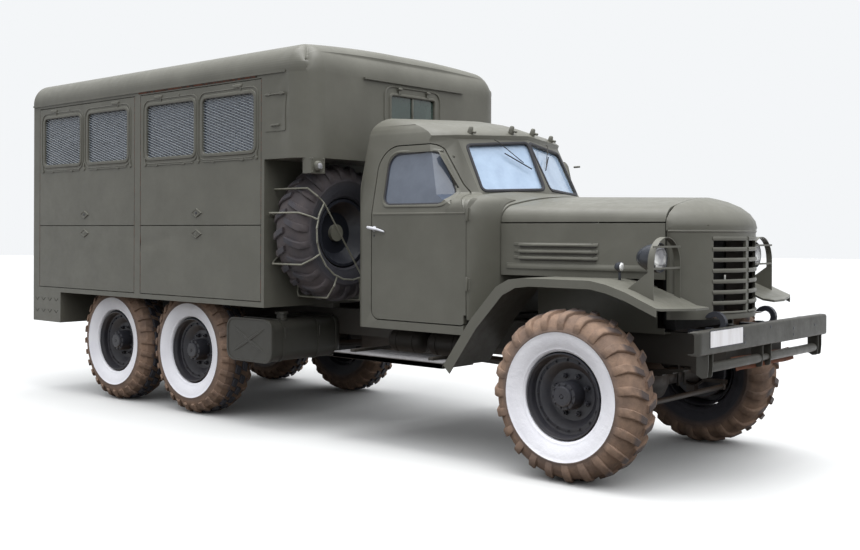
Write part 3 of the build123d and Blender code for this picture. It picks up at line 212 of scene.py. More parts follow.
def dirty_casting(name, metal, dust):
    """Rough sand-cast iron under old dark paint, with dust settled on its upper faces."""
    material, place = new_material(name)
    upward = add_node(material, "ShaderNodeSeparateXYZ",
                      {"Vector": add_node(material, "ShaderNodeNewGeometry", {}).outputs["Normal"]}).outputs["Z"]
    clumps = add_node(material, "ShaderNodeTexNoise", {"Vector": place, "Scale": 14, "Detail": 7, "Roughness": 0.7})
    # sand grain is under 1 mm and would not show, so it is drawn at 4 mm
    sand = add_node(material, "ShaderNodeTexNoise", {"Vector": place, "Scale": 250, "Detail": 2})
    settled = add_node(material, "ShaderNodeMapRange", {"Value": upward, "From Min": -0.2, "From Max": 1.0,
                                                        "To Min": 0.15, "To Max": 0.9})
    cover = add_node(material, "ShaderNodeMath", {0: clumps.outputs["Fac"], 1: settled.outputs["Result"]},
                     operation="MULTIPLY", use_clamp=True)
    cover = add_node(material, "ShaderNodeMath", {0: cover.outputs[0], 1: 1.5}, operation="MULTIPLY", use_clamp=True)
    colour = add_node(material, "ShaderNodeMix", {"Factor": cover.outputs[0], 6: linear(metal), 7: linear(dust)},
                      data_type="RGBA")
    bump = add_node(material, "ShaderNodeBump", {"Height": sand.outputs["Fac"], "Strength": 0.5, "Distance": 0.001})
    lump = add_node(material, "ShaderNodeBump", {"Height": clumps.outputs["Fac"], "Strength": 0.3, "Distance": 0.006,
                                                 "Normal": bump.outputs["Normal"]})
    rough = add_node(material, "ShaderNodeMapRange", {"Value": cover.outputs[0], "To Min": 0.5, "To Max": 0.9})
    return surfaced(material, add_node(material, "ShaderNodeBsdfPrincipled", {
        "Base Color": colour.outputs[2], "Roughness": rough.outputs["Result"], "Normal": lump.outputs["Normal"]}))


axle_iron = dirty_casting("cast_iron_with_road_dirt", "#1f1c1a", "#54402f")
for node in ("front_axle", "rear_axles", "driveline", "exhaust", "winch", "tie_rod", "knuckle_left", "knuckle_right"):
    body = {"tie_rod": "tie_rod_body", "knuckle_left": "knuckle_left_body",
            "knuckle_right": "knuckle_right_body"}.get(node, "root")
    skin(node, axle_iron, body, smooth=40)


def loft(form, rings, closed_ends=True):
    """Quads between rings of points with the same count; the ends are capped."""
    rows = [[form.verts.new(point) for point in ring] for ring in rings]
    for row, following in zip(rows, rows[1:]):
        for corner in range(len(row)):
            after = (corner + 1) % len(row)
            form.faces.new((row[corner], row[after], following[after], following[corner]))
    if closed_ends:
        form.faces.new(list(reversed(rows[0])))
        form.faces.new(rows[-1])
    return rows


def turns(count):
    """Angles that share a full turn evenly."""
    return [math.tau * k / count for k in range(count)]


# middle x, height of the top leaf's middle, rise from the middle to each end, half-length, leaves in the pack
SPRINGS = [(FRONT_AXLE, 0.640, 0.050, 0.560, 6), (FRONT_AXLE - 4.225, 0.685, -0.079, 0.620, 9)]
LEAF_THICK, LEAF_PITCH, EYE_R = 0.0082, 0.0092, 0.022
form = bmesh.new()
for side in (-1, 1):
    for middle, top, rise, half, leaves in SPRINGS:
        for leaf in range(leaves):
            reach = half * (1 - 0.78 * leaf / leaves)
            rings = []
            for step in range(17):
                x = reach * (step / 8 - 1)
                z = top + rise * (x / half) ** 2 - leaf * LEAF_PITCH
                rings.append([(middle + x, side * y, z - drop) for y, drop in (
                    (0.331, 0.001), (0.333, 0), (0.392, 0), (0.394, 0.001), (0.394, LEAF_THICK), (0.331, LEAF_THICK))])
            loft(form, rings)
        for x in (middle - half, middle + half):
            z = top + rise - 0.006
            loft(form, [[(x + EYE_R * math.cos(a), side * y, z + EYE_R * math.sin(a)) for a in turns(16)]
                        for y in (0.33, 0.395)])
        if rise > 0:  # shackle plates between the eye and the rail
            for x in (middle - half, middle + half):
                for y in (0.322, 0.396):
                    loft(form, [[(x + dx, side * (y + dy), z)
                                 for dx, dy in ((-0.02, 0), (0.02, 0), (0.02, 0.007), (-0.02, 0.007))]
                                for z in (0.660, 0.7)])
        else:  # trunnion saddle under the rail
            loft(form, [[(middle + dx * half_width, side * (0.3625 + dy), z)
                         for dx, dy in ((-1, -0.03), (1, -0.03), (1, 0.03), (-1, 0.03))]
                        for z, half_width in ((0.600, 0.07), (0.68, 0.09), (0.70, 0.11))])
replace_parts(piece("spring_leaves", form, chassis_black, "root", "chassis_paint"), "leaf_springs")


def tube(name, paths, radius, material, body, slot):
    """Round bar, pipe or cord of rubber bent along each path of points."""
    curve = bpy.data.curves.new(name, "CURVE")
    curve.dimensions = "3D"
    curve.bevel_depth = radius
    curve.bevel_resolution = 3
    curve.use_fill_caps = True
    for path in paths:
        spline = curve.splines.new("POLY")
        spline.points.add(len(path) - 1)
        for point, place in zip(spline.points, path):
            point.co = (*place, 1)
    line = placed(name + "_line", curve)
    mesh = baked(line)
    bpy.data.objects.remove(line)
    return piece(name, mesh, material, body, slot)


# two U-bolts round each front spring where it crosses the axle: (distance out, height)
U_BOLT = [(0.318, 0.46), (0.318, 0.648), (0.328, 0.658), (0.3625, 0.66), (0.397, 0.658), (0.407, 0.648), (0.407, 0.46)]
bolts = [[(x, side * y, z) for y, z in U_BOLT] for side in (-1, 1) for x in (FRONT_AXLE - 0.075, FRONT_AXLE + 0.075)]
tube("spring_u_bolts", bolts, 0.009, chassis_black, "root", "chassis_paint")

# ------------------------------------------------------------ wheels and tyres
# Cross-country rubber tyres on dished steel discs: bold angled lugs in front, blocks behind, dried brown mud,
# and a white band brushed round each outer sidewall. Rims are dark blue-black enamel, chipped and dusty.
TYRE_TOP = 0.525  # radius over the lugs, and the height of every axle
# one side of the tyre section from the tread's middle to the bead: distance outward, radius
TYRE_LINE = [(0.0, 0.4985), (0.05, 0.4975), (0.09, 0.4915), (0.118, 0.4785), (0.137, 0.460), (0.150, 0.438),
             (0.1575, 0.415), (0.1598, 0.400), (0.1610, 0.398), (0.1610, 0.392), (0.1588, 0.389), (0.156, 0.366),
             (0.148, 0.334), (0.136, 0.303), (0.130, 0.292), (0.1295, 0.286), (0.1245, 0.281), (0.119, 0.268),
             (0.112, 0.2645)]
WHITE_OUT = 0.3905  # outer radius of the white band
LUG_R = 0.51  # radius at which a lug's width and lean are measured


def turned(profile, sides=96):
    """Ring-shaped mesh turned about Y through a closed profile."""
    form = bmesh.new()
    rings = []
    for across, radius in profile:
        rings.append([form.verts.new((radius * math.sin(a), across, radius * math.cos(a)))
                      for a in turns(sides)])
    for ring, following in zip(rings, rings[1:] + rings[:1]):
        for corner in range(sides):
            after = (corner + 1) % sides
            form.faces.new((ring[corner], ring[after], following[after], following[corner]))
    return form


def tread_lug(form, angle, start, end, foot, base_r, width0, width1, tilt, mirrored):
    """One rubber lug from near the tread's middle, over the shoulder and down to foot on the sidewall."""
    stations = []
    for across in [start + (end - start) * k / 4 for k in range(5)]:
        # the tread falls away outside 75 mm from its middle
        stations.append((across, base_r - max(0, across - 0.075) * 0.42, 0.0))
    stations += [(0.146, 0.455, 0.9), ((0.150 + 0.157) / 2 + 0.002, (0.462 + foot) / 2, 1.3), (0.1585, foot, 1.5)]
    rings = []
    rises = [TYRE_TOP - base_r] * 4 + [(TYRE_TOP - base_r) * part for part in (0.95, 0.75, 0.4, 0.02)]
    for number, ((across, radius, lean), rise) in enumerate(zip(stations, rises)):
        width = width0 + (width1 - width0) * min(1, number / 7 * 1.5)
        ring = []
        for w, h in ((-0.5, -0.006), (-0.46, rise * 0.75), (-0.36, rise), (0.36, rise), (0.46, rise * 0.75),
                     (0.5, -0.006)):
            r = radius + h * math.cos(lean)
            y = across + h * math.sin(lean)
            turn = angle + (w * width + tilt * (min(across, 0.14) - start)) / LUG_R
            ring.append((r * math.sin(turn), y * mirrored, r * math.cos(turn)))
        rings.append(ring)
    loft(form, rings)


def remember(mesh):
    """Stores each point's radius and distance outward, which the rubber's finish follows."""
    radius = mesh.attributes.new("radius", "FLOAT", "POINT")
    across = mesh.attributes.new("across", "FLOAT", "POINT")
    for vertex in mesh.vertices:
        radius.data[vertex.index].value = math.hypot(vertex.co.x, vertex.co.z)
        across.data[vertex.index].value = vertex.co.y


def new_tree(name, inputs):
    """Geometry Nodes tree whose named inputs are given by kind; returns it with their sockets."""
    tree = bpy.data.node_groups.new(name, "GeometryNodeTree")
    for label, kind in inputs.items():
        tree.interface.new_socket(label, in_out="INPUT", socket_type="NodeSocket" + kind)
    tree.interface.new_socket("Geometry", in_out="OUTPUT", socket_type="NodeSocketGeometry")
    return tree, add_node(tree, "NodeGroupInput", {}).outputs


def end_tree(tree, given, points, **turned):
    """Ends a tree: its pattern stands on every point, is made real and takes its material."""
    copies = add_node(tree, "GeometryNodeInstanceOnPoints", {"Points": points, "Instance": given["Pattern"], **turned})
    real = add_node(tree, "GeometryNodeRealizeInstances", {0: copies.outputs[0]})
    finish = add_node(tree, "GeometryNodeSetMaterial", {"Geometry": real.outputs[0], "Material": given["Material"]})
    add_node(tree, "NodeGroupOutput", {0: finish.outputs[0]})
    return tree


def repeat_round():
    """Geometry Nodes tree that repeats one lug or bolt evenly round the wheel's axis."""
    tree, given = new_tree("repeat_round_axle", {"Pattern": "Geometry", "Count": "Int", "Material": "Material"})
    points = add_node(tree, "GeometryNodePoints", {"Count": given["Count"]})
    index = add_node(tree, "GeometryNodeInputIndex", {})
    pitch = add_node(tree, "ShaderNodeMath", {0: math.tau, 1: given["Count"]}, operation="DIVIDE")
    step = add_node(tree, "ShaderNodeMath", {0: index.outputs[0], 1: pitch.outputs[0]}, operation="MULTIPLY")
    turn = add_node(tree, "ShaderNodeCombineXYZ", {"Y": step.outputs[0]})
    return end_tree(tree, given, points.outputs[0], Rotation=turn.outputs[0])


round_tree = repeat_round()


def repeated(mesh, tree, **values):
    """The pattern mesh laid out by a tree, its inputs set by identifier, as one plain mesh."""
    pattern = placed("pattern", mesh)
    modifier = pattern.modifiers.new("layout", "NODES")
    modifier.node_group = tree
    for item in tree.interface.items_tree:
        label = item.name.replace(" ", "_")
        if item.item_type == "SOCKET" and item.in_out == "INPUT" and label in values:
            modifier[item.identifier] = values[label]
    result = baked(pattern)
    bpy.data.objects.remove(pattern)
    return result


def muddy_rubber(name, white):
    """Moulded tyre rubber with dried mud in the tread and, on road wheels, a brushed white band."""
    material, place = new_material(name)
    radius = add_node(material, "ShaderNodeAttribute", {}, attribute_name="radius").outputs["Fac"]
    across = add_node(material, "ShaderNodeAttribute", {}, attribute_name="across").outputs["Fac"]
    clods = add_node(material, "ShaderNodeTexNoise", {"Vector": place, "Scale": 22, "Detail": 8, "Roughness": 0.7})
    broad = add_node(material, "ShaderNodeTexNoise", {"Vector": place, "Scale": 5, "Detail": 4})
    fine = add_node(material, "ShaderNodeTexNoise", {"Vector": place, "Scale": 140, "Detail": 5, "Roughness": 0.7})
    # mud holds from the shoulder outward; the lugs' tops are rubbed back to rubber
    shoulder = add_node(material, "ShaderNodeMapRange", {"Value": radius, "From Min": 0.36, "From Max": 0.43})
    rubbed = add_node(material, "ShaderNodeMapRange", {"Value": radius, "From Min": 0.514, "From Max": 0.5235,
                                                       "To Min": 1.0, "To Max": 0.25})
    held = add_node(material, "ShaderNodeMath", {0: shoulder.outputs["Result"], 1: rubbed.outputs["Result"]},
                    operation="MULTIPLY")
    cover = add_node(material, "ShaderNodeMapRange", {"Value": broad.outputs["Fac"], "From Min": 0.22, "From Max": 0.55,
                                                      "To Min": 0.5 if white else 0.0,
                                                      "To Max": 1.0 if white else 0.12})
    held = add_node(material, "ShaderNodeMath", {0: held.outputs[0], 1: cover.outputs["Result"]}, operation="MULTIPLY")
    mud = add_node(material, "ShaderNodeMix", {"Factor": clods.outputs["Fac"], 6: linear("#5b4d46"),
                                               7: linear("#a88c76")}, data_type="RGBA")
    dust = add_node(material, "ShaderNodeMix", {"Factor": broad.outputs["Fac"], 6: linear("#25252a"),
                                                7: linear("#45444a")}, data_type="RGBA")
    colour = add_node(material, "ShaderNodeMix", {"Factor": held.outputs[0], 6: dust.outputs[2], 7: mud.outputs[2]},
                      data_type="RGBA")
    rough = add_node(material, "ShaderNodeMapRange", {"Value": held.outputs[0], "To Min": 0.62, "To Max": 0.95})
    if white:
        edge = add_node(material, "ShaderNodeMath", {0: fine.outputs["Fac"], 1: 0.003, 2: radius},
                        operation="MULTIPLY_ADD")
        inside = add_node(material, "ShaderNodeMapRange", {"Value": edge.outputs[0], "From Min": WHITE_OUT + 0.0025,
                                                           "From Max": WHITE_OUT + 0.0010})
        outward = add_node(material, "ShaderNodeMath", {0: across, 1: 0.1}, operation="GREATER_THAN")
        band = add_node(material, "ShaderNodeMath", {0: inside.outputs["Result"], 1: outward.outputs[0]},
                        operation="MULTIPLY")
        smear = add_node(material, "ShaderNodeMix", {"Factor": broad.outputs["Fac"], 6: linear("#f6f6f8"),
                                                     7: linear("#dcdbe2")}, data_type="RGBA")
        colour = add_node(material, "ShaderNodeMix", {"Factor": band.outputs[0], 6: colour.outputs[2],
                                                      7: smear.outputs[2]}, data_type="RGBA")
    lumps = add_node(material, "ShaderNodeBump", {"Height": clods.outputs["Fac"], "Strength": 0.8 if white else 0.3,
                                                  "Distance": 0.006})
    skin_bump = add_node(material, "ShaderNodeBump", {"Height": fine.outputs["Fac"], "Strength": 0.25,
                                                      "Distance": 0.001, "Normal": lumps.outputs["Normal"]})
    return surfaced(material, add_node(material, "ShaderNodeBsdfPrincipled", {
        "Base Color": colour.outputs[2], "Roughness": rough.outputs["Result"], "Normal": skin_bump.outputs["Normal"],
        "Specular IOR Level": 0.3}))


road_rubber = muddy_rubber("tyre_rubber_muddy_white_band", True)
spare_rubber = muddy_rubber("tyre_rubber_dusty", False)


def whole_tyre(name, base_r, rows, material):
    """Tyre carcass with its rows of lugs: rows are (count, side, start, end, foot, widths, tilt, phase)."""
    line = [(y, r + (base_r - 0.4985 if y < 0.12 else 0)) for y, r in TYRE_LINE]
    body_form = turned(line + [(-y, r) for y, r in reversed(line[1:])])
    carcass = mesh_from(body_form, name + "_carcass")
    joined = bmesh.new()
    joined.from_mesh(carcass)
    for count, mirrored, start, end, foot, width0, width1, tilt, phase in rows:
        lug_form = bmesh.new()
        tread_lug(lug_form, math.tau * phase / count, start, end, foot, base_r, width0, width1, tilt, mirrored)
        joined.from_mesh(repeated(mesh_from(lug_form, "lug"), round_tree, Count=count, Material=material))
    mesh = mesh_from(joined, name)
    remember(mesh)
    return mesh


bold_tyre = whole_tyre("bold_tyre", 0.5040, [(23, 1, 0.006, 0.13, 0.405, 0.046, 0.060, 0.42, 0),
                                             (23, -1, 0.006, 0.13, 0.405, 0.046, 0.060, 0.42, 0.5)], road_rubber)
BLOCKS = 28
block_tyre = whole_tyre("block_tyre", 0.5090, [(BLOCKS, 1, 0.074, 0.132, 0.44, 0.044, 0.050, 0.25, 0),
                                               (BLOCKS, -1, 0.074, 0.132, 0.44, 0.044, 0.050, 0.25, 0.5)], road_rubber)
# the block tyre's two middle rows
middle_rows = bmesh.new()
middle_rows.from_mesh(block_tyre)
for mirrored, phase in ((1, 0.25), (-1, 0.75)):
    block_form = bmesh.new()
    rings = []
    for across in (0.006, 0.012, 0.052, 0.058):
        top = TYRE_TOP if 0.01 < across < 0.055 else TYRE_TOP - 0.006
        ring = []
        for w, r in ((-0.5, 0.500), (-0.44, top - 0.001), (0.44, top - 0.001), (0.5, 0.500)):
            turn = math.tau * phase / BLOCKS + (w * 0.078 + 0.5 * across * mirrored) / LUG_R
            ring.append((r * math.sin(turn), across * mirrored, r * math.cos(turn)))
        rings.append(ring)
    loft(block_form, rings)
    middle_rows.from_mesh(repeated(mesh_from(block_form, "block"), round_tree, Count=BLOCKS, Material=road_rubber))
block_tyre = mesh_from(middle_rows, "block_tyre")
remember(block_tyre)

# half-gloss enamel, nearly black, chipped to brown at its edges
rim_enamel = worn_paint("rim_enamel_blue_black", "#22242b", "#33353c", "#4b4038", "#5a4030", rough=0.42, dust_top=0.9,
                        chips=0.05, waviness=0.02)

# rim section, outer face: distance outward, radius; the disc is dished in towards the hub
RIM_LINE = [(0.100, 0.2600), (0.113, 0.2635), (0.121, 0.2615), (0.1225, 0.2565), (0.118, 0.2515), (0.108, 0.2490),
            (0.102, 0.2440), (0.085, 0.2400), (0.060, 0.2360), (0.055, 0.2250), (0.057, 0.2050), (0.050, 0.1940),
            (0.014, 0.1680), (0.006, 0.1580), (0.006, 0.0900), (0.090, 0.0860), (0.104, 0.0820), (0.108, 0.0660),
            (0.120, 0.0620), (0.1265, 0.0540), (0.1265, 0.0150), (0.1225, 0.0120), (-0.009, 0.0110), (-0.009, 0.1650),
            (0.036, 0.2050), (0.036, 0.2360), (-0.085, 0.2400), (-0.108, 0.2500), (-0.112, 0.2600)]
rim_mesh = mesh_from(turned(RIM_LINE), "rim")


def turned_bolt(form, across, radius, bolt_r, height):
    """Hexagon nut with its round stud at the top of the wheel, for repeating round it."""
    top = across + height
    for r, foot, head, sides in ((bolt_r, across, top, 6), (bolt_r * 0.5, top, across + height * 1.7, 10)):
        loft(form, [[(r * part * math.sin(a), y, radius + r * part * math.cos(a)) for a in turns(sides)]
                    for y, part in ((foot, 1), (foot + (head - foot) * 0.85, 1), (head, 0.85))])


wheel_rim = bmesh.new()
wheel_rim.from_mesh(rim_mesh)
# nuts on the hub's flange, the disc and the rim: how many, distance outward, radius of their circle, their own size
for count, across, radius, bolt_r, height in ((8, 0.006, 0.122, 0.017, 0.022), (10, 0.1055, 0.0745, 0.0075, 0.008),
                                              (16, 0.0555, 0.214, 0.0085, 0.008), (6, 0.1262, 0.036, 0.007, 0.0008)):
    bolt_form = bmesh.new()
    turned_bolt(bolt_form, across, radius, bolt_r, height)
    wheel_rim.from_mesh(repeated(mesh_from(bolt_form, "wheel_nut"), round_tree, Count=count, Material=rim_enamel))
# brake drum behind the disc, and the hub's solid middle
DRUM = [(-0.105, 0.198), (-0.100, 0.205), (-0.075, 0.205), (-0.070, 0.200), (-0.04, 0.200), (-0.012, 0.196)]
HUB_CAP = [(0.10, 0.012), (0.1225, 0.0118), (0.1285, 0.008)]
for line, sides in ((DRUM, 48), (HUB_CAP, 16)):
    loft(wheel_rim, [[(r * math.sin(a), y, r * math.cos(a)) for a in turns(sides)]
                     for y, r in line])
road_rim = mesh_from(wheel_rim, "road_rim")

HALF_TRACK = 0.876
AXLES = {"front": FRONT_AXLE, "middle": FRONT_AXLE - 3.665, "rear": FRONT_AXLE - 4.785}
WHEELS = [(axle, x, name, side) for axle, x in AXLES.items() for name, side in (("left", 1), ("right", -1))]
for number, (axle, x, name, side) in enumerate(WHEELS):
    stand = Matrix.Translation((x, side * HALF_TRACK, TYRE_TOP)) @ Matrix.Rotation(0 if side > 0 else math.pi, 4, "Z")
    roll = Matrix.Rotation(0.41 * number, 4, "Y")  # each wheel stopped at another angle
    wheel = axle + "_" + name
    for part, mesh, finish, slot in (("tyre", bold_tyre if axle == "front" else block_tyre, road_rubber, "tyre_rubber"),
                                     ("rim", road_rim, rim_enamel, "rim_paint")):
        mesh = mesh.copy()
        mesh.transform(stand @ roll)
        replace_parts(piece(part + "_of_" + wheel, mesh, finish, "wheel_" + wheel, slot, angle=30), part + "_" + wheel)

# ------------------------------------------------------------ engine and radiator
# One plain iron block under the hood and a tube-and-fin core in a black frame, glimpsed between the nose's slots.
# Both are dull with oil and dust. The forged tow hooks are bolted to the ends of the frame ahead of them.
skin("engine", axle_iron, round_edge=0.005, angle=40)
skin("tow_hooks", rim_enamel, round_edge=0.005, angle=40)


def core_fins():
    """Radiator core: thin vertical tubes crossed by fine fins, under black paint that is rubbed and dusty, with painted
    shade near black in the gaps between them.
    """
    material, place = new_material("radiator_core_fins")
    axes = add_node(material, "ShaderNodeSeparateXYZ", {"Vector": place})
    waves = []
    for axis, spacing in (("Y", 0.012), ("Z", 0.005)):  # tubes 12 mm apart, fins 5 mm
        wave = add_node(material, "ShaderNodeMath", {0: axes.outputs[axis], 1: math.tau / spacing},
                        operation="MULTIPLY")
        waves.append(add_node(material, "ShaderNodeMath", {0: wave.outputs[0]}, operation="SINE").outputs[0])
    relief = add_node(material, "ShaderNodeMath", {0: waves[1], 1: 0.4, 2: waves[0]}, operation="MULTIPLY_ADD")
    # the gaps between tubes and fins are painted near black as shade
    painted_gap_shade = add_node(material, "ShaderNodeMapRange", {"Value": relief.outputs[0], "From Min": -1.4, "From Max": 1.4})
    dust = add_node(material, "ShaderNodeTexNoise", {"Vector": place, "Scale": 9, "Detail": 5})
    tint = add_node(material, "ShaderNodeMix", {"Factor": dust.outputs["Fac"], 6: linear("#17171a"),
                                                7: linear("#332f2b")}, data_type="RGBA")
    colour = add_node(material, "ShaderNodeMix", {"Factor": painted_gap_shade.outputs["Result"], 6: linear("#08080a"),
                                                  7: tint.outputs[2]}, data_type="RGBA")
    bump = add_node(material, "ShaderNodeBump", {"Height": relief.outputs[0], "Strength": 0.5, "Distance": 0.001})
    rough = add_node(material, "ShaderNodeMapRange", {"Value": dust.outputs["Fac"], "To Min": 0.55, "To Max": 0.8})
    return surfaced(material, add_node(material, "ShaderNodeBsdfPrincipled", {
        "Base Color": colour.outputs[2], "Roughness": rough.outputs["Result"], "Normal": bump.outputs["Normal"]}))


skin("radiator", core_fins(), round_edge=0.003)


def oblong(low_u, low_v, high_u, high_v):
    """Corners of an upright rectangle, from its lower left."""
    return [(low_u, low_v), (high_u, low_v), (high_u, high_v), (low_u, high_v)]


# black air baffles that close the gaps between the core and the nose, with a shelf over and under them
form = bmesh.new()
for side in (-1, 1):
    loft(form, [[(FRONT_AXLE + x, side * (out + dy), z) for dy, z in ((0, 1.0), (0.003, 1.0), (0.003, 1.56), (0, 1.56))]
                for x, out in ((0.410, 0.342), (0.480, 0.370), (0.545, 0.392))])
for shelf in (((0.405, 1.502), (0.52, 1.55), (0.62, 1.56)), ((0.405, 0.998), (0.66, 0.995))):
    loft(form, [[(FRONT_AXLE + x, y, z) for y, z in oblong(-0.34, foot, 0.34, foot + 0.004)] for x, foot in shelf])
piece("air_baffles", form, axle_iron, "root", "chassis_paint")

# ------------------------------------------------------------ bumper and guard
# Pressed channel bumper bolted across the frame's ends, with a roller and a bent guard plate under it.
# It wears the body's oil paint, knocked, and darker with grime and with painted shade; the number plate is bare white
# enamel.

# olive drab brushed on by hand: a dull sheen, paler on top where the sun has faded it and where light from above is
# painted in
olive = worn_paint("olive_drab_paint", "#55544c", "#706f66", "#4f4842", "#30241c", rough=0.42, dust_top=0.95,
                   chips=0.015)
# the same paint where stones and boots reach it, browner and chipped, and darker both from grime and from painted shade
# on the low and tucked-in parts that wear it
olive_knocked_and_shaded = worn_paint("olive_drab_paint_knocked", "#2f2e29", "#403e38", "#3f3730", "#2a1f19", rough=0.46,
                           dust_top=0.6, chips=0.04)


def spread(corners, grow):
    """Moves a polygon's edges outward by the same distance and returns its new corners."""
    moved = []
    for i, (x, y) in enumerate(corners):
        (ax, ay), (bx, by) = corners[i - 1], corners[(i + 1) % len(corners)]
        first = Vector((x - ax, y - ay)).normalized()
        second = Vector((bx - x, by - y)).normalized()
        n1, n2 = Vector((first.y, -first.x)), Vector((second.y, -second.x))
        moved.append(tuple(Vector((x, y)) + (n1 + n2) * (grow / (1 + n1.dot(n2)))))
    return moved


def rounded(corners, radii, steps=5):
    """Outline of a polygon, drawn counter-clockwise, with each corner rounded to its radius."""
    line = []
    for i, (corner, radius) in enumerate(zip(corners, radii)):
        here = Vector(corner)
        before, after = Vector(corners[i - 1]) - here, Vector(corners[(i + 1) % len(corners)]) - here
        half_turn = before.angle(after) / 2
        reach = min(radius / math.tan(half_turn), 0.49 * before.length, 0.49 * after.length)
        start, end = here + before.normalized() * reach, here + after.normalized() * reach
        for t in [step / steps for step in range(steps + 1)]:
            line.append(tuple(start * (1 - t) ** 2 + here * 2 * t * (1 - t) + end * t ** 2))
    return line


def moulding(form, corners, radii, section, place, steps=5):
    """Frame that follows an outline: section points are (outward from the outline, proud of the panel)."""
    rows = []
    for grow, proud in section:
        outline = rounded(spread(corners, grow), [max(0.002, r + grow) for r in radii], steps)
        rows.append([form.verts.new(place(u, v, proud)) for u, v in outline])
    for row, following in zip(rows, rows[1:] + rows[:1]):
        for i in range(len(row)):
            j = (i + 1) % len(row)
            form.faces.new((row[i], row[j], following[j], following[i]))


def sheet_plate(form, corners, radii, depth, place, steps=5, edge=0.001):
    """Flat plate with rounded corners and softened edges, its front face proud by depth."""
    rings = []
    for grow, proud in ((0, 0), (0, depth - edge), (-edge, depth)):
        outline = rounded(spread(corners, grow), [max(0.001, r + grow) for r in radii], steps)
        rings.append([place(u, v, proud) for u, v in outline])
    loft(form, rings)


def turned_forward(form, line, centre, lean=(1, 0, 0), sides=40):
    """Form turned about an axis through the centre: line points are (along the axis, radius)."""
    centre, axis = Vector(centre), Vector(lean).normalized()
    across = axis.orthogonal().normalized()
    up = axis.cross(across)
    loft(form, [[centre + axis * along + (across * math.cos(a) + up * math.sin(a)) * max(radius, 0.0004)
                 for a in turns(sides)] for along, radius in line])


def rod(form, start, end, radius, sides=10):
    """Short round bar between two points with softened ends."""
    along = Vector(end) - Vector(start)
    soft = min(radius * 0.3, along.length * 0.3)
    turned_forward(form, [(0, radius * 0.85), (soft, radius), (along.length - soft, radius),
                          (along.length, radius * 0.85)], start, along, sides)


def rivet(form, centre, axis, radius=0.006, height=0.003, sides=10):
    """Domed rivet or bolt head standing on a panel."""
    turned_forward(form, [(-0.001, radius), (height * 0.4, radius), (height * 0.8, radius * 0.75),
                          (height, radius * 0.35)], centre, axis, sides)


def repeat_rows():
    """Geometry Nodes tree that lays a pattern out in rows and columns."""
    tree, given = new_tree("repeat_in_rows", {"Pattern": "Geometry", "Columns": "Int", "Rows": "Int",
                                              "Column Step": "Vector", "Row Step": "Vector", "Material": "Material"})
    index = add_node(tree, "GeometryNodeInputIndex", {}).outputs[0]
    total = add_node(tree, "ShaderNodeMath", {0: given["Columns"], 1: given["Rows"]}, operation="MULTIPLY")
    column = add_node(tree, "ShaderNodeMath", {0: index, 1: given["Columns"]}, operation="MODULO")
    row = add_node(tree, "ShaderNodeMath", {0: index, 1: given["Columns"]}, operation="DIVIDE")
    row = add_node(tree, "ShaderNodeMath", {0: row.outputs[0]}, operation="FLOOR")
    moves = [add_node(tree, "ShaderNodeVectorMath", {0: given[step], "Scale": times.outputs[0]},
                      operation="SCALE").outputs[0] for step, times in (("Column Step", column), ("Row Step", row))]
    place = add_node(tree, "ShaderNodeVectorMath", {0: moves[0], 1: moves[1]}, operation="ADD")
    points = add_node(tree, "GeometryNodePoints", {"Count": total.outputs[0], "Position": place.outputs[0]})
    return end_tree(tree, given, points.outputs[0])


rows_tree = repeat_rows()


def enamel_plate():
    """White stove enamel with faint brown streaks that rain has left."""
    material, place = new_material("white_enamel_number_plate")
    streaks = add_node(material, "ShaderNodeMapping", {"Vector": place, "Scale": (1, 14, 3)})
    stain = add_node(material, "ShaderNodeTexNoise", {"Vector": streaks.outputs[0], "Scale": 1, "Detail": 5})
    cover = add_node(material, "ShaderNodeMapRange", {"Value": stain.outputs["Fac"], "From Min": 0.45, "From Max": 0.8,
                                                      "To Max": 0.5})
    colour = add_node(material, "ShaderNodeMix", {"Factor": cover.outputs["Result"], 6: linear("#e9e8ea"),
                                                  7: linear("#a79c92")}, data_type="RGBA")
    bump = add_node(material, "ShaderNodeBump", {"Height": stain.outputs["Fac"], "Strength": 0.1, "Distance": 0.001})
    rough = add_node(material, "ShaderNodeMapRange", {"Value": stain.outputs["Fac"], "To Min": 0.25, "To Max": 0.5})
    return surfaced(material, add_node(material, "ShaderNodeBsdfPrincipled", {
        "Base Color": colour.outputs[2], "Roughness": rough.outputs["Result"], "Normal": bump.outputs["Normal"]}))


BUMPER_FACE = 3.467
PLATE = oblong(-0.812, 0.867, -0.392, 0.962)


def on_bumper(u, v, proud):
    """Place on the bumper's front face: u across the truck, v up."""
    return (BUMPER_FACE + proud, u, v)


form = bmesh.new()
sheet_plate(form, PLATE, [0.006] * 4, 0.0014, on_bumper, edge=0.0004)
piece("number_plate", form, enamel_plate(), "root", "lamp")
# pressed channel open to the rear, roller in its brackets under it, then the bent plate that guards the tie rod
form = bmesh.new()
rings = []
BUMPER_END = [(0.940, 3.441), (0.937, 3.452), (0.930, 3.461), (0.918, 3.466), (0.900, BUMPER_FACE)]
for y, face in [(-y, face) for y, face in BUMPER_END] + BUMPER_END[::-1]:
    inset = max(0.0, abs(y) - 0.928) * 0.6
    low, high = 0.827 + inset, 0.966 - inset
    rings.append([(face - back, y, z) for back, z in (
        (0.046, low), (0.016, low), (0.007, low + 0.003), (0.002, low + 0.009), (0, low + 0.018), (0, high - 0.018),
        (0.002, high - 0.009), (0.007, high - 0.003), (0.016, high), (0.046, high), (0.046, high - 0.006),
        (0.017, high - 0.006), (0.007, high - 0.017), (0.007, low + 0.017), (0.017, low + 0.006),
        (0.046, low + 0.006))])
loft(form, rings)
for y in (-0.830, -0.775, -0.105, 0.015, 0.775, 0.830):
    sheet_plate(form, [(3.392, 0.712), (3.425, 0.694), (3.458, 0.700), (3.464, 0.760), (3.464, 0.835), (3.392, 0.835)],
                [0.004, 0.014, 0.016, 0.004, 0.002, 0.002], 0.007, lambda u, v, proud, y=y: (u, y + proud, v))
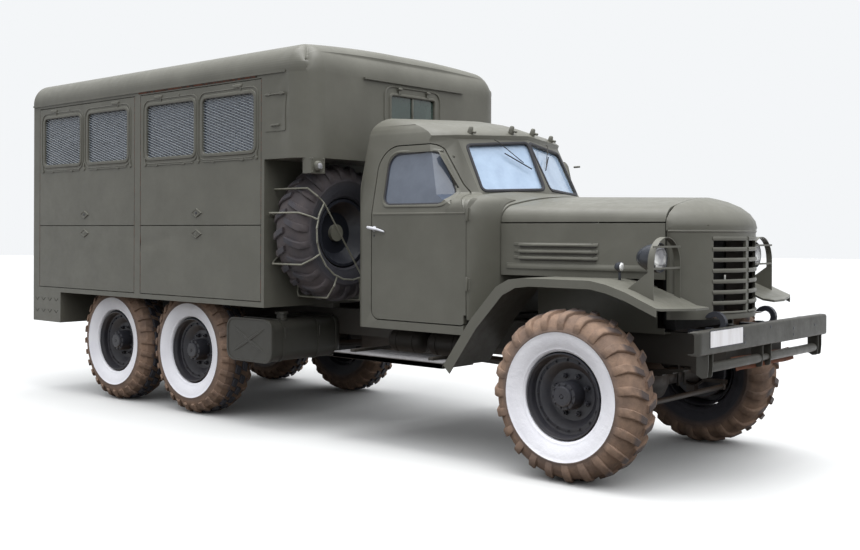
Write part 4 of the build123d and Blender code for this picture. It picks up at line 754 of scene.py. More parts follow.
for y in (-0.62, 0.62):
    sheet_plate(form, oblong(y - 0.034, 0.830, y + 0.034, 0.962), [0.006] * 4, 0.009,
                lambda u, v, proud: (3.400 - proud, u, v))
ROLLER = [(-0.762, 0.010), (-0.762, 0.024), (-0.752, 0.028), (-0.118, 0.028), (-0.110, 0.020), (0.018, 0.020),
          (0.026, 0.028), (0.752, 0.028), (0.762, 0.024), (0.762, 0.010)]
loft(form, [[(3.436 + radius * math.cos(a), y, 0.750 + radius * math.sin(a)) for a in turns(24)]
            for y, radius in ROLLER])
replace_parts(piece("bumper_channel", form, olive_knocked_and_shaded, "root", "green_paint", angle=40), "front_bumper")
form = bmesh.new()
GUARD = [(0.0, 0.770), (0.010, 0.742), (0.030, 0.718), (0.034, 0.695), (0.030, 0.694), (0.025, 0.716), (0.005, 0.740),
         (-0.005, 0.770)]
loft(form, [[(3.392 + dx + 0.004 * math.sin(y * 9), y, z + 0.003 * math.sin(y * 14)) for dx, z in GUARD]
            for y in [-0.39 + 0.043 * k for k in range(21)]])
# more rust than paint, and quite matt
rusty_plate = worn_paint("rusty_guard_plate", "#4a3a31", "#6a4a38", "#584a40", "#6b3a22", rough=0.75, dust_top=1.3,
                         chips=0.35, waviness=0.1)
piece("tie_rod_guard", form, rusty_plate, "root", "chassis_paint", angle=40)

# plate's rolled edge and the bumper bolts
form = bmesh.new()
moulding(form, PLATE, [0.006] * 4, [(-0.0015, 0.0), (-0.0015, 0.0017), (0.004, 0.0019), (0.0055, 0.0)], on_bumper)
for y, z in ((0.007, 0.935), (0.712, 0.905), (-0.36, 0.905), (-0.36, 0.865), (0.36, 0.905), (0.36, 0.865)):
    rivet(form, (3.466, y, z), (1, 0, 0), 0.011, 0.0028)
piece("bumper_bolts", form, rim_enamel, "root", "chassis_paint")

# ------------------------------------------------------------ fenders, hood and nose
# Flat-topped fenders with a rolled lip, a domed hood in two leaves, and a slotted drum nose.
# The sheet has a soft ripple; seams between the panels read as thin dark lines.
skin("front_fenders", olive, round_edge=0.002, angle=40, smooth=30)
skin("hood_sides", olive, round_edge=0.0025, angle=40)
skin("grille_shell", olive, round_edge=0.0015, angle=45)
for side in ("left", "right"):
    skin("hood_" + side, olive, "hood_" + side + "_body", round_edge=0.0015, angle=45)

# louvres: pressed scoops with a dark strip of painted shade in the slot under each, following the hood side's slight
# taper to the nose
scoops, slots = bmesh.new(), bmesh.new()


def on_hood(side, x, out, z):
    """Point on the hood's side, which tapers to the nose: x from the front axle, distance out from the sheet."""
    return (FRONT_AXLE + x, side * (0.620 - 0.0943 * (x + 0.700) + out), z)


for side in (-1, 1):
    for low, high, start, end, out in ((1.424, 1.446, -0.604, -0.026, 0.016), (1.380, 1.402, -0.604, -0.026, 0.016),
                                       (1.337, 1.359, -0.604, -0.026, 0.016), (1.274, 1.308, -0.690, 0.330, 0.012)):
        tall = high - low
        rings = []
        for k in range(13):
            x = start + (end - start) * k / 12
            swell = out * min(1, math.sin(math.pi * max(0.02, k / 12)) ** 0.25)
            rings.append([on_hood(side, x, lift, z) for lift, z in (
                (-0.002, high), (0.4 * swell, high - 0.12 * tall), (0.9 * swell, high - 0.45 * tall),
                (swell, low + 0.25 * tall), (0.85 * swell, low), (-0.002, low + 0.02 * tall))])
        loft(scoops, rings)
        if low > 1.32:
            loft(slots, [[on_hood(side, x, lift, low + dz)
                          for lift, dz in ((-0.001, -0.009), (0.0095, -0.007), (0.0105, 0.001), (-0.001, 0.001))]
                         for x in (start + 0.012, end - 0.012)])
piece("hood_louvres", scoops, olive, "root", "green_paint", angle=30)
# dark strips in black paint that stand as painted shade in the open slots under the louvres
piece("louvre_slots", slots, chassis_black, "root", "chassis_paint")

# round-edged bars across the nose's slots, and a bead over them
NOSE_R, SLOT_HALF_WIDTH = 0.602, 0.306


def nose_at(angle, out, z):
    """Point on the nose drum: angle from straight ahead, distance out from its sheet."""
    return (FRONT_AXLE + 0.112 + (NOSE_R + out) * math.cos(angle), (NOSE_R + out) * math.sin(angle), z)


form = bmesh.new()
for side in (-1, 1):
    first, last = side * math.asin(0.012 / NOSE_R), side * math.asin(SLOT_HALF_WIDTH / NOSE_R)
    for number, z in enumerate([1.030 + 0.066 * k for k in range(8)]):
        top, low = (z, z - 0.022) if number else (z + 0.001, z - 0.012)  # the lowest bar is a narrow one
        middle, half = (top + low) / 2, (top - low) / 2 + 0.002
        loft(form, [[nose_at(first + (last - first) * k / 10,
                             (0.006 if math.cos(a) > 0 else 0.003) * math.cos(a), middle + half * math.sin(a))
                     for a in turns(10)] for k in range(11)])
BEAD = [(-0.001, 1.536), (0.004, 1.532), (0.006, 1.526), (0.003, 1.519), (-0.001, 1.517)]
loft(form, [[nose_at(-1.0 + 2.0 * k / 40, out, z) for out, z in BEAD] for k in range(41)])
piece("nose_bars", form, olive, "root", "green_paint", angle=40)

# ------------------------------------------------------------ lamps
# Two teardrop headlamps behind ribbed glass, two small side lamps on the fenders, one lamp box each side of the body.
# Buckets are gloss blue-black; the glass carries a painted reflection of a bright dish in its colour.


def ribbed_glass():
    """Lamp glass with the bright dish behind it painted into its colour as patches of grey and near white, a painted
    reflection; its fine upright ribs, drawn 11 mm apart so that they show, break up the shine.
    """
    material, place = new_material("ribbed_lamp_glass")
    across = add_node(material, "ShaderNodeSeparateXYZ", {"Vector": place}).outputs["Y"]
    rib = add_node(material, "ShaderNodeMath", {0: across, 1: math.tau / 0.011}, operation="MULTIPLY")
    rib = add_node(material, "ShaderNodeMath", {0: rib.outputs[0]}, operation="SINE")
    grime = add_node(material, "ShaderNodeTexNoise", {"Vector": place, "Scale": 25, "Detail": 4})
    # patches of near white painted as the dish's reflection and glints
    painted_dish_glint = add_node(material, "ShaderNodeTexNoise", {"Vector": place, "Scale": 11, "Detail": 1})
    tone = add_node(material, "ShaderNodeMapRange", {"Value": painted_dish_glint.outputs["Fac"], "From Min": 0.4, "From Max": 0.6})
    colour = add_node(material, "ShaderNodeMix", {"Factor": tone.outputs["Result"], 6: linear("#8f8f93"),
                                                  7: linear("#eeeeec")}, data_type="RGBA")
    colour = add_node(material, "ShaderNodeMix", {"Factor": add_node(material, "ShaderNodeMapRange", {
        "Value": grime.outputs["Fac"], "From Min": 0.5, "From Max": 0.9, "To Max": 0.6}).outputs["Result"],
        6: colour.outputs[2], 7: linear("#6a655c")}, data_type="RGBA")
    bump = add_node(material, "ShaderNodeBump", {"Height": rib.outputs[0], "Strength": 0.6, "Distance": 0.002})
    rough = add_node(material, "ShaderNodeMapRange", {"Value": grime.outputs["Fac"], "To Min": 0.08, "To Max": 0.3})
    return surfaced(material, add_node(material, "ShaderNodeBsdfPrincipled", {
        "Base Color": colour.outputs[2], "Roughness": rough.outputs["Result"], "Normal": bump.outputs["Normal"],
        "Metallic": 0.35, "Coat Weight": 0.8, "Coat Roughness": 0.04}))


lamp_glass = ribbed_glass()
# gloss paint on the lamp pressings gives a sharp highlight through little dust
bucket_gloss = worn_paint("lamp_bucket_gloss_paint", "#2a2d33", "#3a3d43", "#4b4038", "#3c3028", rough=0.28,
                          dust_top=0.7, chips=0.02, waviness=0.05)

LAMP_X, LAMP_Y, LAMP_Z = FRONT_AXLE + 0.470, 0.665, 1.365
POST_X = FRONT_AXLE + 0.410
glasses, buckets = bmesh.new(), bmesh.new()
for side in (-1, 1):
    face = (LAMP_X, side * LAMP_Y, LAMP_Z)
    turned_forward(glasses, [(-0.012, 0.078), (-0.002, 0.0785), (0.008, 0.070), (0.015, 0.050), (0.019, 0.025),
                             (0.020, 0.001)], face)
    turned_forward(buckets, [(-0.150, 0.002), (-0.149, 0.016), (-0.140, 0.034), (-0.118, 0.056), (-0.085, 0.074),
                             (-0.045, 0.084), (-0.022, 0.087), (-0.021, 0.090), (-0.006, 0.0915), (0.004, 0.089),
                             (0.006, 0.083), (0.001, 0.079), (-0.010, 0.078)], face)
    rod(buckets, (POST_X, side * LAMP_Y, 1.105), (POST_X, side * LAMP_Y, 1.300), 0.016)
    turned_forward(buckets, [(0, 0.036), (0.008, 0.036), (0.016, 0.018), (0.022, 0.016)],
                   (POST_X, side * LAMP_Y, 1.106), (0, 0, 1), 16)
    lamp = (FRONT_AXLE + 0.182, side * 0.640, 1.303)
    turned_forward(buckets, [(-0.034, 0.001), (-0.032, 0.012), (-0.020, 0.026), (-0.004, 0.0315), (0.012, 0.032),
                             (0.014, 0.028)], lamp, sides=24)
    turned_forward(glasses, [(0.012, 0.028), (0.019, 0.025), (0.024, 0.015), (0.026, 0.001)], lamp, sides=24)
    rod(buckets, (lamp[0], lamp[1], 1.222), (lamp[0], lamp[1], 1.280), 0.009)
piece("lamp_lenses", glasses, lamp_glass, "root", "lamp", angle=50)
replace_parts(piece("lamp_buckets", buckets, bucket_gloss, "root", "chassis_paint", angle=40), "headlamps")

# ------------------------------------------------------------ cab
# Rounded steel cab, pressed and welded: crowned roof and a sloping split windscreen in dark rubber.
# The doors are hung on outside hinges, and every pane is flat glass.
skin("cab_shell", olive, round_edge=0.002, angle=40, smooth=50)
for side in ("left", "right"):
    skin("cab_door_" + side, olive, "cab_door_" + side + "_body", round_edge=0.003, angle=40, smooth=32)


def old_rubber():
    """Perished window rubber: dull black gone grey, cracked across."""
    material, place = new_material("perished_window_rubber")
    cracks = add_node(material, "ShaderNodeTexVoronoi", {"Vector": place, "Scale": 160}, feature="DISTANCE_TO_EDGE")
    chalk = add_node(material, "ShaderNodeTexNoise", {"Vector": place, "Scale": 20, "Detail": 5})
    colour = add_node(material, "ShaderNodeMix", {"Factor": chalk.outputs["Fac"], 6: linear("#17171a"),
                                                  7: linear("#34343a")}, data_type="RGBA")
    bump = add_node(material, "ShaderNodeBump", {"Height": cracks.outputs["Distance"], "Strength": 0.3,
                                                 "Distance": 0.001})
    rough = add_node(material, "ShaderNodeMapRange", {"Value": chalk.outputs["Fac"], "To Min": 0.55, "To Max": 0.85})
    return surfaced(material, add_node(material, "ShaderNodeBsdfPrincipled", {
        "Base Color": colour.outputs[2], "Roughness": rough.outputs["Result"], "Normal": bump.outputs["Normal"]}))


rubber_seal = old_rubber()


def pane(name, tint, clear, sky):
    """Flat window glass: a tint, streaks of dust, and the pale sky's reflection painted into its colour in patches."""
    material, place = new_material(name)
    dust = add_node(material, "ShaderNodeTexNoise", {"Vector": place, "Scale": 3, "Detail": 7, "Roughness": 0.65})
    haze = add_node(material, "ShaderNodeMapRange", {"Value": dust.outputs["Fac"], "From Min": 0.3, "From Max": 0.75,
                                                     "To Min": 1 - clear - 0.08, "To Max": 1 - clear + 0.10})
    # patches of the sky colour are a painted reflection
    tint_and_painted_sky = add_node(material, "ShaderNodeMix", {"Factor": dust.outputs["Fac"], 6: linear(tint), 7: linear(sky)},
                    data_type="RGBA")
    ripple = add_node(material, "ShaderNodeTexNoise", {"Vector": place, "Scale": 4, "Detail": 0})
    wave = add_node(material, "ShaderNodeBump", {"Height": ripple.outputs["Fac"], "Strength": 0.05, "Distance": 0.01})
    return surfaced(material, add_node(material, "ShaderNodeBsdfPrincipled", {
        "Base Color": tint_and_painted_sky.outputs[2], "Roughness": 0.06, "Coat Weight": 0.5, "Coat Roughness": 0.03,
        "Alpha": haze.outputs["Result"], "Normal": wave.outputs["Normal"]}))


# the windscreen's pale blue tint is itself painted sky reflection; the dark, nearly opaque tints of the door and body
# windows paint the dim inside seen through them
windscreen_glass = pane("windscreen_glass", "#93a8c1", 0.25, "#bccfe3")
side_glass = pane("side_window_glass", "#434a57", 0.06, "#5f6774")
mesh_glass = pane("body_window_glass", "#343b49", 0.2, "#5d6676")
dress(windscreen_glass, "fixed_glass")
dress(side_glass, "door_glass_left", "door_glass_right")
dress(mesh_glass, "flap_glass_front_left", "flap_glass_front_right", "flap_glass_rear_left", "flap_glass_rear_right")


# rubber round each half of the windscreen
PANE = [(0.036, 0.006), (0.606, 0.006), (0.610, 0.372), (0.036, 0.396)]


def on_screen(side):
    """Place on one half of the windscreen: u outward along it, v up its slope."""
    foot = Vector((FRONT_AXLE - 0.784, 0, 1.817))
    along = Vector((-0.24, side, -0.04)).normalized()
    lean = Vector((-0.195, 0, 0.374)).normalized()
    lean = (lean - along * lean.dot(along)).normalized()
    out = along.cross(lean) * side
    return lambda u, v, proud: foot + along * u + lean * v + out * proud


form = bmesh.new()
for side in (-1, 1):
    moulding(form, PANE, [0.042] * 4, [(-0.012, 0.000), (-0.008, 0.007), (0.002, 0.009), (0.010, 0.006),
                                       (0.013, -0.004), (0.0, -0.006)], on_screen(side), steps=7)
piece("windscreen_rubber", form, rubber_seal, "root", "tyre_rubber", angle=50)


# the belt's shoulder, where the door's sheet rolls in under the post: (out from the middle, height)
SHOULDER = [(0.869, 1.640), (0.867, 1.668), (0.858, 1.702), (0.832, 1.730), (0.797, 1.750), (0.745, 1.763),
            (0.690, 1.770)]
SHOULDER_RUN = [(-0.856, -1.030), (-0.872, -1.030), (-0.898, -0.985), (-0.920, -1.008), (-0.938, -1.018),
                (-0.954, -1.024), (-0.964, -1.028)]


def door_face(side, name):
    """Place on a door's outside, found by sighting across at its sheet, or at its glass inside the opening."""
    sheet, glass = [BVHTree.FromPolygons([vertex.co for vertex in cad[node].data.vertices],
                                         [face.vertices for face in cad[node].data.polygons])
                    for node in ("cab_door_" + name, "door_glass_" + name)]

    def place(u, v, proud):
        """Point at u along and v up the door, proud of what the sight line meets."""
        start = Vector((FRONT_AXLE + u, side * 1.3, v))
        found, pane_found = [tree.ray_cast(start, Vector((0, -side, 0)), 0.75)[0] for tree in (sheet, glass)]
        flat = 0.870 - 0.2036 * max(0, v - 1.640)
        if found is not None and (pane_found is None or abs(found.y) > abs(pane_found.y)):
            flat = abs(found.y)
        elif pane_found is not None:
            flat = abs(pane_found.y) + 0.014
        for (low_y, low_z), (high_y, high_z) in zip(SHOULDER, SHOULDER[1:]):
            if low_z <= v < high_z:
                flat = max(flat, low_y + (high_y - low_y) * (v - low_z) / (high_z - low_z) + 0.001)
        return (FRONT_AXLE + u, side * (flat + proud), v)

    return place


# sections of the lever: part of its length, drop, half-height, half-thickness
LEVER = [(0.0, 0.006, 0.012, 0.010), (0.25, 0.002, 0.013, 0.010), (0.6, -0.008, 0.010, 0.008),
         (0.9, -0.020, 0.008, 0.006), (1.0, -0.024, 0.004, 0.003)]
# pale plating rubbed by hands: hard shine, hardly any chips
bright = worn_paint("bright_plated_lever", "#b9bac0", "#d8d9dd", "#8a857d", "#6b5a4a", rough=0.2, dust_top=0.3,
                    chips=0.02, waviness=0.02)
DOOR_WINDOW = [(-1.625, 1.705), (-1.000, 1.705), (-1.178, 2.075), (-1.625, 2.075)]
DOOR_CORNERS = [0.070, 0.075, 0.075, 0.110]
BELT = [(-0.010, -0.001), (-0.004, 0.0035), (0.004, 0.0035), (0.010, -0.001)]
for side, name in ((1, "left"), (-1, "right")):
    place = door_face(side, name)
    body = "cab_door_" + name + "_body"
    seal, trim, lever = bmesh.new(), bmesh.new(), bmesh.new()
    moulding(seal, DOOR_WINDOW, DOOR_CORNERS, [(-0.010, -0.024), (-0.010, -0.006), (-0.002, -0.002), (0.003, -0.006),
                                               (0.002, -0.024)], place, steps=8)
    moulding(trim, DOOR_WINDOW, DOOR_CORNERS, [(0.002, -0.004), (0.003, 0.003), (0.010, 0.0055), (0.018, 0.003),
                                               (0.021, -0.002)], place, steps=8)
    # two hinges: a pair of leaves, the pin's barrel between them, and the screws of the rear leaf
    for z in (1.635, 1.170):
        for low_x in (-0.854, -0.832):
            sheet_plate(trim, oblong(low_x, z - 0.040, low_x + 0.020, z + 0.040), [0.003] * 4, 0.006, place)
        rod(trim, place(-0.834, z - 0.046, 0.010), place(-0.834, z + 0.046, 0.010), 0.0085)
        for dz in (-0.022, 0.022):
            rivet(trim, place(-0.846, z + dz, 0.006), (0, side, 0), 0.005, 0.002, 8)
    # corner of the pressed skin between the belt, the window and the post
    rings = []
    for t in (0.0, 0.02, 0.98, 1.0):
        lift = 0.002 if 0 < t < 1 else 0.0
        line = [(FRONT_AXLE + fore + (aft - fore) * t, side * (y + lift), z + lift)
                for (y, z), (fore, aft) in zip(SHOULDER, SHOULDER_RUN)]
        rings.append(line + [(x, y - side * 0.012, z - 0.012) for x, y, z in reversed(line)])
    loft(trim, rings)
    # crease pressed in at the belt, key hole below the handle
    loft(trim, [[place(x, 1.640 + dz, proud) for dz, proud in BELT] for x in (-1.700, -1.4, -1.1, -0.860)])
    rivet(lever, place(-1.690, 1.535, 0.0), (0, side, 0), 0.020, 0.010, 16)
    rings = []
    for t, dz, wide, thick in LEVER:
        x = -1.735 + 0.150 * t
        out = 0.010 + 0.022 * math.sin(math.pi * min(1, t + 0.25))
        rings.append([place(x, 1.538 + dz + wide * math.sin(a), out + thick * math.cos(a)) for a in turns(10)])
    loft(lever, rings)
    rivet(seal, place(-1.692, 1.487, 0.0), (0, side, 0), 0.008, 0.002, 12)
    piece("door_seal_" + name, seal, rubber_seal, body, "tyre_rubber", angle=50)
    piece("door_trim_" + name, trim, olive, body, "green_paint", angle=40)
    piece("door_handle_" + name, lever, bright, body, "lamp", angle=50)

# cheeks of the cowl: sheet swept from each door's front edge round to the hood side, up to the windscreen post
CHEEK = [((-0.846, 0.862, 0.930), (-0.800, 0.832, 0.930), (-0.757, 0.640, 0.930)),
         ((-0.846, 0.866, 1.100), (-0.800, 0.835, 1.100), (-0.752, 0.632, 1.100)),
         ((-0.846, 0.868, 1.400), (-0.800, 0.837, 1.395), (-0.751, 0.631, 1.390)),
         ((-0.846, 0.869, 1.600), (-0.800, 0.838, 1.585), (-0.750, 0.630, 1.566)),
         ((-0.853, 0.869, 1.640), (-0.800, 0.840, 1.622), (-0.749, 0.628, 1.592)),
         ((-0.868, 0.867, 1.668), (-0.800, 0.840, 1.650), (-0.749, 0.624, 1.620)),
         ((-0.894, 0.858, 1.702), (-0.800, 0.832, 1.690), (-0.750, 0.611, 1.657)),
         ((-0.916, 0.832, 1.730), (-0.798, 0.820, 1.722), (-0.751, 0.585, 1.687)),
         ((-0.934, 0.797, 1.750), (-0.798, 0.800, 1.745), (-0.752, 0.552, 1.711)),
         ((-0.950, 0.745, 1.763), (-0.798, 0.755, 1.760), (-0.752, 0.500, 1.727)),
         ((-0.960, 0.690, 1.770), (-0.798, 0.705, 1.768), (-0.752, 0.450, 1.738)),
         ((-0.960, 0.680, 1.752), (-0.798, 0.695, 1.750), (-0.752, 0.440, 1.718))]
form = bmesh.new()
for side in (-1, 1):
    rings = []
    for rear, turn, fore in [map(Vector, row) for row in CHEEK]:
        line = [rear * (1 - t) ** 2 + turn * 2 * t * (1 - t) + fore * t * t for t in [k / 12 for k in range(13)]]
        line = [Vector((FRONT_AXLE + point.x, side * point.y, point.z)) for point in line]
        rings.append(line + [point + Vector((-0.010, -side * 0.010, -0.002)) for point in reversed(line)])
    loft(form, rings)
piece("cowl_cheeks", form, olive, "root", "green_paint", angle=40)

# brackets along the brow, a wiper from each windscreen's head, and the small peg on the windscreen post
form = bmesh.new()
BROW = [(-1.117, -0.496, 2.212), (-1.028, -0.131, 2.236), (-1.028, 0.131, 2.236), (-1.117, 0.496, 2.212)]
for x, y, z in BROW:
    turned_forward(form, [(-0.006, 0.020), (0.000, 0.022), (0.020, 0.020), (0.046, 0.016), (0.052, 0.008)],
                   (FRONT_AXLE + x, y, z), (0.25, 0, 1), 14)
    rod(form, (FRONT_AXLE + x + 0.02, y, z + 0.012), (FRONT_AXLE + x + 0.052, y, z + 0.004), 0.009)
for side in (-1, 1):
    rod(form, (FRONT_AXLE - 1.058, side * 0.742, 2.030), (FRONT_AXLE - 1.030, side * 0.785, 2.034), 0.008)
piece("brow_brackets", form, olive, "root", "green_paint", angle=50)
WIPER_ARM = [(0.36, 0.405, 0.020), (0.34, 0.385, 0.030), (0.22, 0.275, 0.020), (0.16, 0.22, 0.016)]
wipers, blades = [], []
for side in (-1, 1):
    place = on_screen(side)
    wipers.append([tuple(place(*point)) for point in WIPER_ARM])
    blades.append([tuple(place(*point)) for point in ((0.30, 0.30, 0.012), (0.10, 0.17, 0.012))])
tube("wiper_arms", wipers, 0.0032, chassis_black, "root", "chassis_paint")
tube("wiper_blades", blades, 0.0045, rubber_seal, "root", "tyre_rubber")

# ------------------------------------------------------------ box body
# Flat sheet walls over a steel frame, with a crowned roof rolled over a drip rail at each side.
# Each lifting flap has two windows: a pressed rim, a rolled bead outside it, glass behind an expanded-metal guard.
WINDOWS = {"rear": [(-3.150, -2.515), (-2.400, -1.760)], "front": [(-1.487, -0.814), (-0.722, -0.070)]}
WINDOW_LOW, WINDOW_HIGH, WALL, BOX_FRONT = 2.120, 2.575, 1.160, 0.500
CORNER = [0.055] * 4  # radii of each window's corners
ROLL_X, ROLL_Y, ROLL, EAVE = 0.3, 0.96, 0.2, 2.69  # where the roof begins to roll down, how far, and to what height


def rolled_front(point):
    """Rolls the roof down to its front gutter and round both front corners, as sheet beaten over its hoops."""
    x, y, z = point
    ahead, aside, across = x - ROLL_X, abs(y) - ROLL_Y, abs(y)
    if ahead <= 0 or z < 2.2:
        return point
    on_body = x <= BOX_FRONT + 0.0001  # not the gutter, which stands ahead of the sheet
    if z < EAVE + 0.0025:
        reach = math.hypot(ahead, aside)
        if aside > 0 and reach > ROLL and on_body:
            x, y = ROLL_X + ahead * ROLL / reach, math.copysign(ROLL_Y + aside * ROLL / reach, y)
        return Vector((x, y, z))
    if on_body:
        # height of the roof over the eave here: flat crown, then an elliptical quarter at the side
        high = 0.2559 - 0.034 * across ** 2
        if across > 1.0:
            high = 0.222 * math.sqrt(max(0.0, 1 - ((across - 1.0) / 0.16) ** 2))
        high = max(0.004, high)
        forward, up = ahead / ROLL, (z - EAVE) / high
        shrink = max(forward, up) / math.hypot(forward, up)
        ahead, z = ROLL * forward * shrink, EAVE + high * up * shrink
        x = ROLL_X + ahead
        if aside > 0:
            shrink = max(ahead, aside) / math.hypot(ahead, aside)
            x, y = ROLL_X + ahead * shrink, math.copysign(ROLL_Y + aside * shrink, y)
    return Vector((x, y, z))


def knocked_corner(point):
    """Old knocks: the sheet at the body's front corner is creased and beaten in by up to 14 mm."""
    if point.y > -1.0 or not 0.0 < point.x < 0.46 or point.z < 2.06:
        return point
    reach = math.sin(math.pi * min(1, point.x / 0.46)) * math.sin(math.pi * min(1, (point.z - 2.06) / 0.86))
    broad, fine = Vector((point.x * 7, 3.1, point.z * 5)), Vector((point.x * 16, 8, point.z * 11))
    crease = noise.noise(broad) * 0.6 + noise.noise(fine) * 0.4
    depth = reach * (0.006 + 0.022 * max(0, crease))
    return point + Vector((0, depth, 0))


def reshape(obj, planes, moves):
    """Divides an object's sheet along planes and moves its points, then evens the shading again."""
    form = bmesh.new()
    form.from_mesh(obj.data)
    for place, axis in planes:
        bmesh.ops.bisect_plane(form, geom=form.verts[:] + form.edges[:] + form.faces[:], plane_co=place, plane_no=axis,
                               dist=0.00001)
    bmesh.ops.triangulate(form, faces=[face for face in form.faces if len(face.verts) > 4])
    for vertex in form.verts:
        for move in moves:
            vertex.co = move(vertex.co)
    form.to_mesh(obj.data)
    form.free()
    if "custom_normal" in obj.data.attributes:
        obj.data.attributes.remove(obj.data.attributes["custom_normal"])
    obj.data.set_sharp_from_angle(angle=math.radians(38))
    obj.modifiers.new("even_shading", "WEIGHTED_NORMAL").keep_sharp = True
    settle(obj)


def cuts(axis, start, step, count):
    """Evenly spaced planes square to an axis, along which a sheet is divided."""
    square = Vector([float(axis == number) for number in range(3)])
    return [(square * (start + step * k), square) for k in range(count)]


roof_cuts = cuts(0, ROLL_X, 0.0125, 16) + cuts(2, 2.50, 0.02, 22)
roof_cuts += cuts(1, -ROLL_Y, -0.02, 10) + cuts(1, ROLL_Y, 0.02, 10)
knock_cuts = cuts(0, 0, 0.03, 12) + cuts(2, 2.07, 0.04, 11)
shell = skin("box_shell", olive, round_edge=0.002, angle=40, smooth=32)
reshape(shell, roof_cuts + knock_cuts, [rolled_front, knocked_corner])


# dents: middle x and z, half-width, half-height, depth
DENTS = [(-1.45, 1.42, 0.22, 0.07, 0.006), (-1.20, 1.46, 0.14, 0.05, 0.004), (-1.42, 1.33, 0.2, 0.05, -0.003)]


def dented(point):
    """Shallow dents in the sheet under the front flap's seam."""
    for x, z, wide, high, depth in DENTS:
        fall = ((point.x - x) / wide) ** 2 + ((point.z - z) / high) ** 2
        if fall < 1:
            point = point + Vector((0, depth * (1 - fall) ** 2 * (1 if point.y < 0 else -1), 0))
    return point


for leaf in ("upper", "lower"):
    for end in ("rear", "front"):
        for side in ("left", "right"):
            name = leaf + "_flap_" + end + "_" + side
            flap = skin(name, olive, name + "_body", round_edge=0.0025)
            if name == "lower_flap_front_right":
                reshape(flap, cuts(0, -1.66, 0.03, 24) + cuts(2, 1.28, 0.02, 13), [dented])
skin("rear_door", olive, "rear_door_body", round_edge=0.003)


def on_wall(side):
    """Place on a side wall: u along the truck, v up, proud out from the sheet."""
    return lambda u, v, proud: (u, side * (WALL + proud), v)


def key_plate(form, hole, x, z, place, side):
    """Diamond plate round a flap's square key: raised border, key hole, a screw at each end."""
    corners = [(x - 0.070, z), (x, z - 0.036), (x + 0.070, z), (x, z + 0.036)]
    sheet_plate(form, corners, [0.004] * 4, 0.005, place)
    moulding(form, corners, [0.004] * 4, [(-0.008, 0.004), (-0.006, 0.0085), (-0.001, 0.0085), (0.002, 0.0)], place,
             steps=2)
    rivet(hole, place(x, z, 0.0045), (0, side, 0), 0.012, 0.003, 12)
    for dx in (-0.046, 0.046):
        rivet(form, place(x + dx, z, 0.005), (0, side, 0), 0.0045, 0.003, 8)


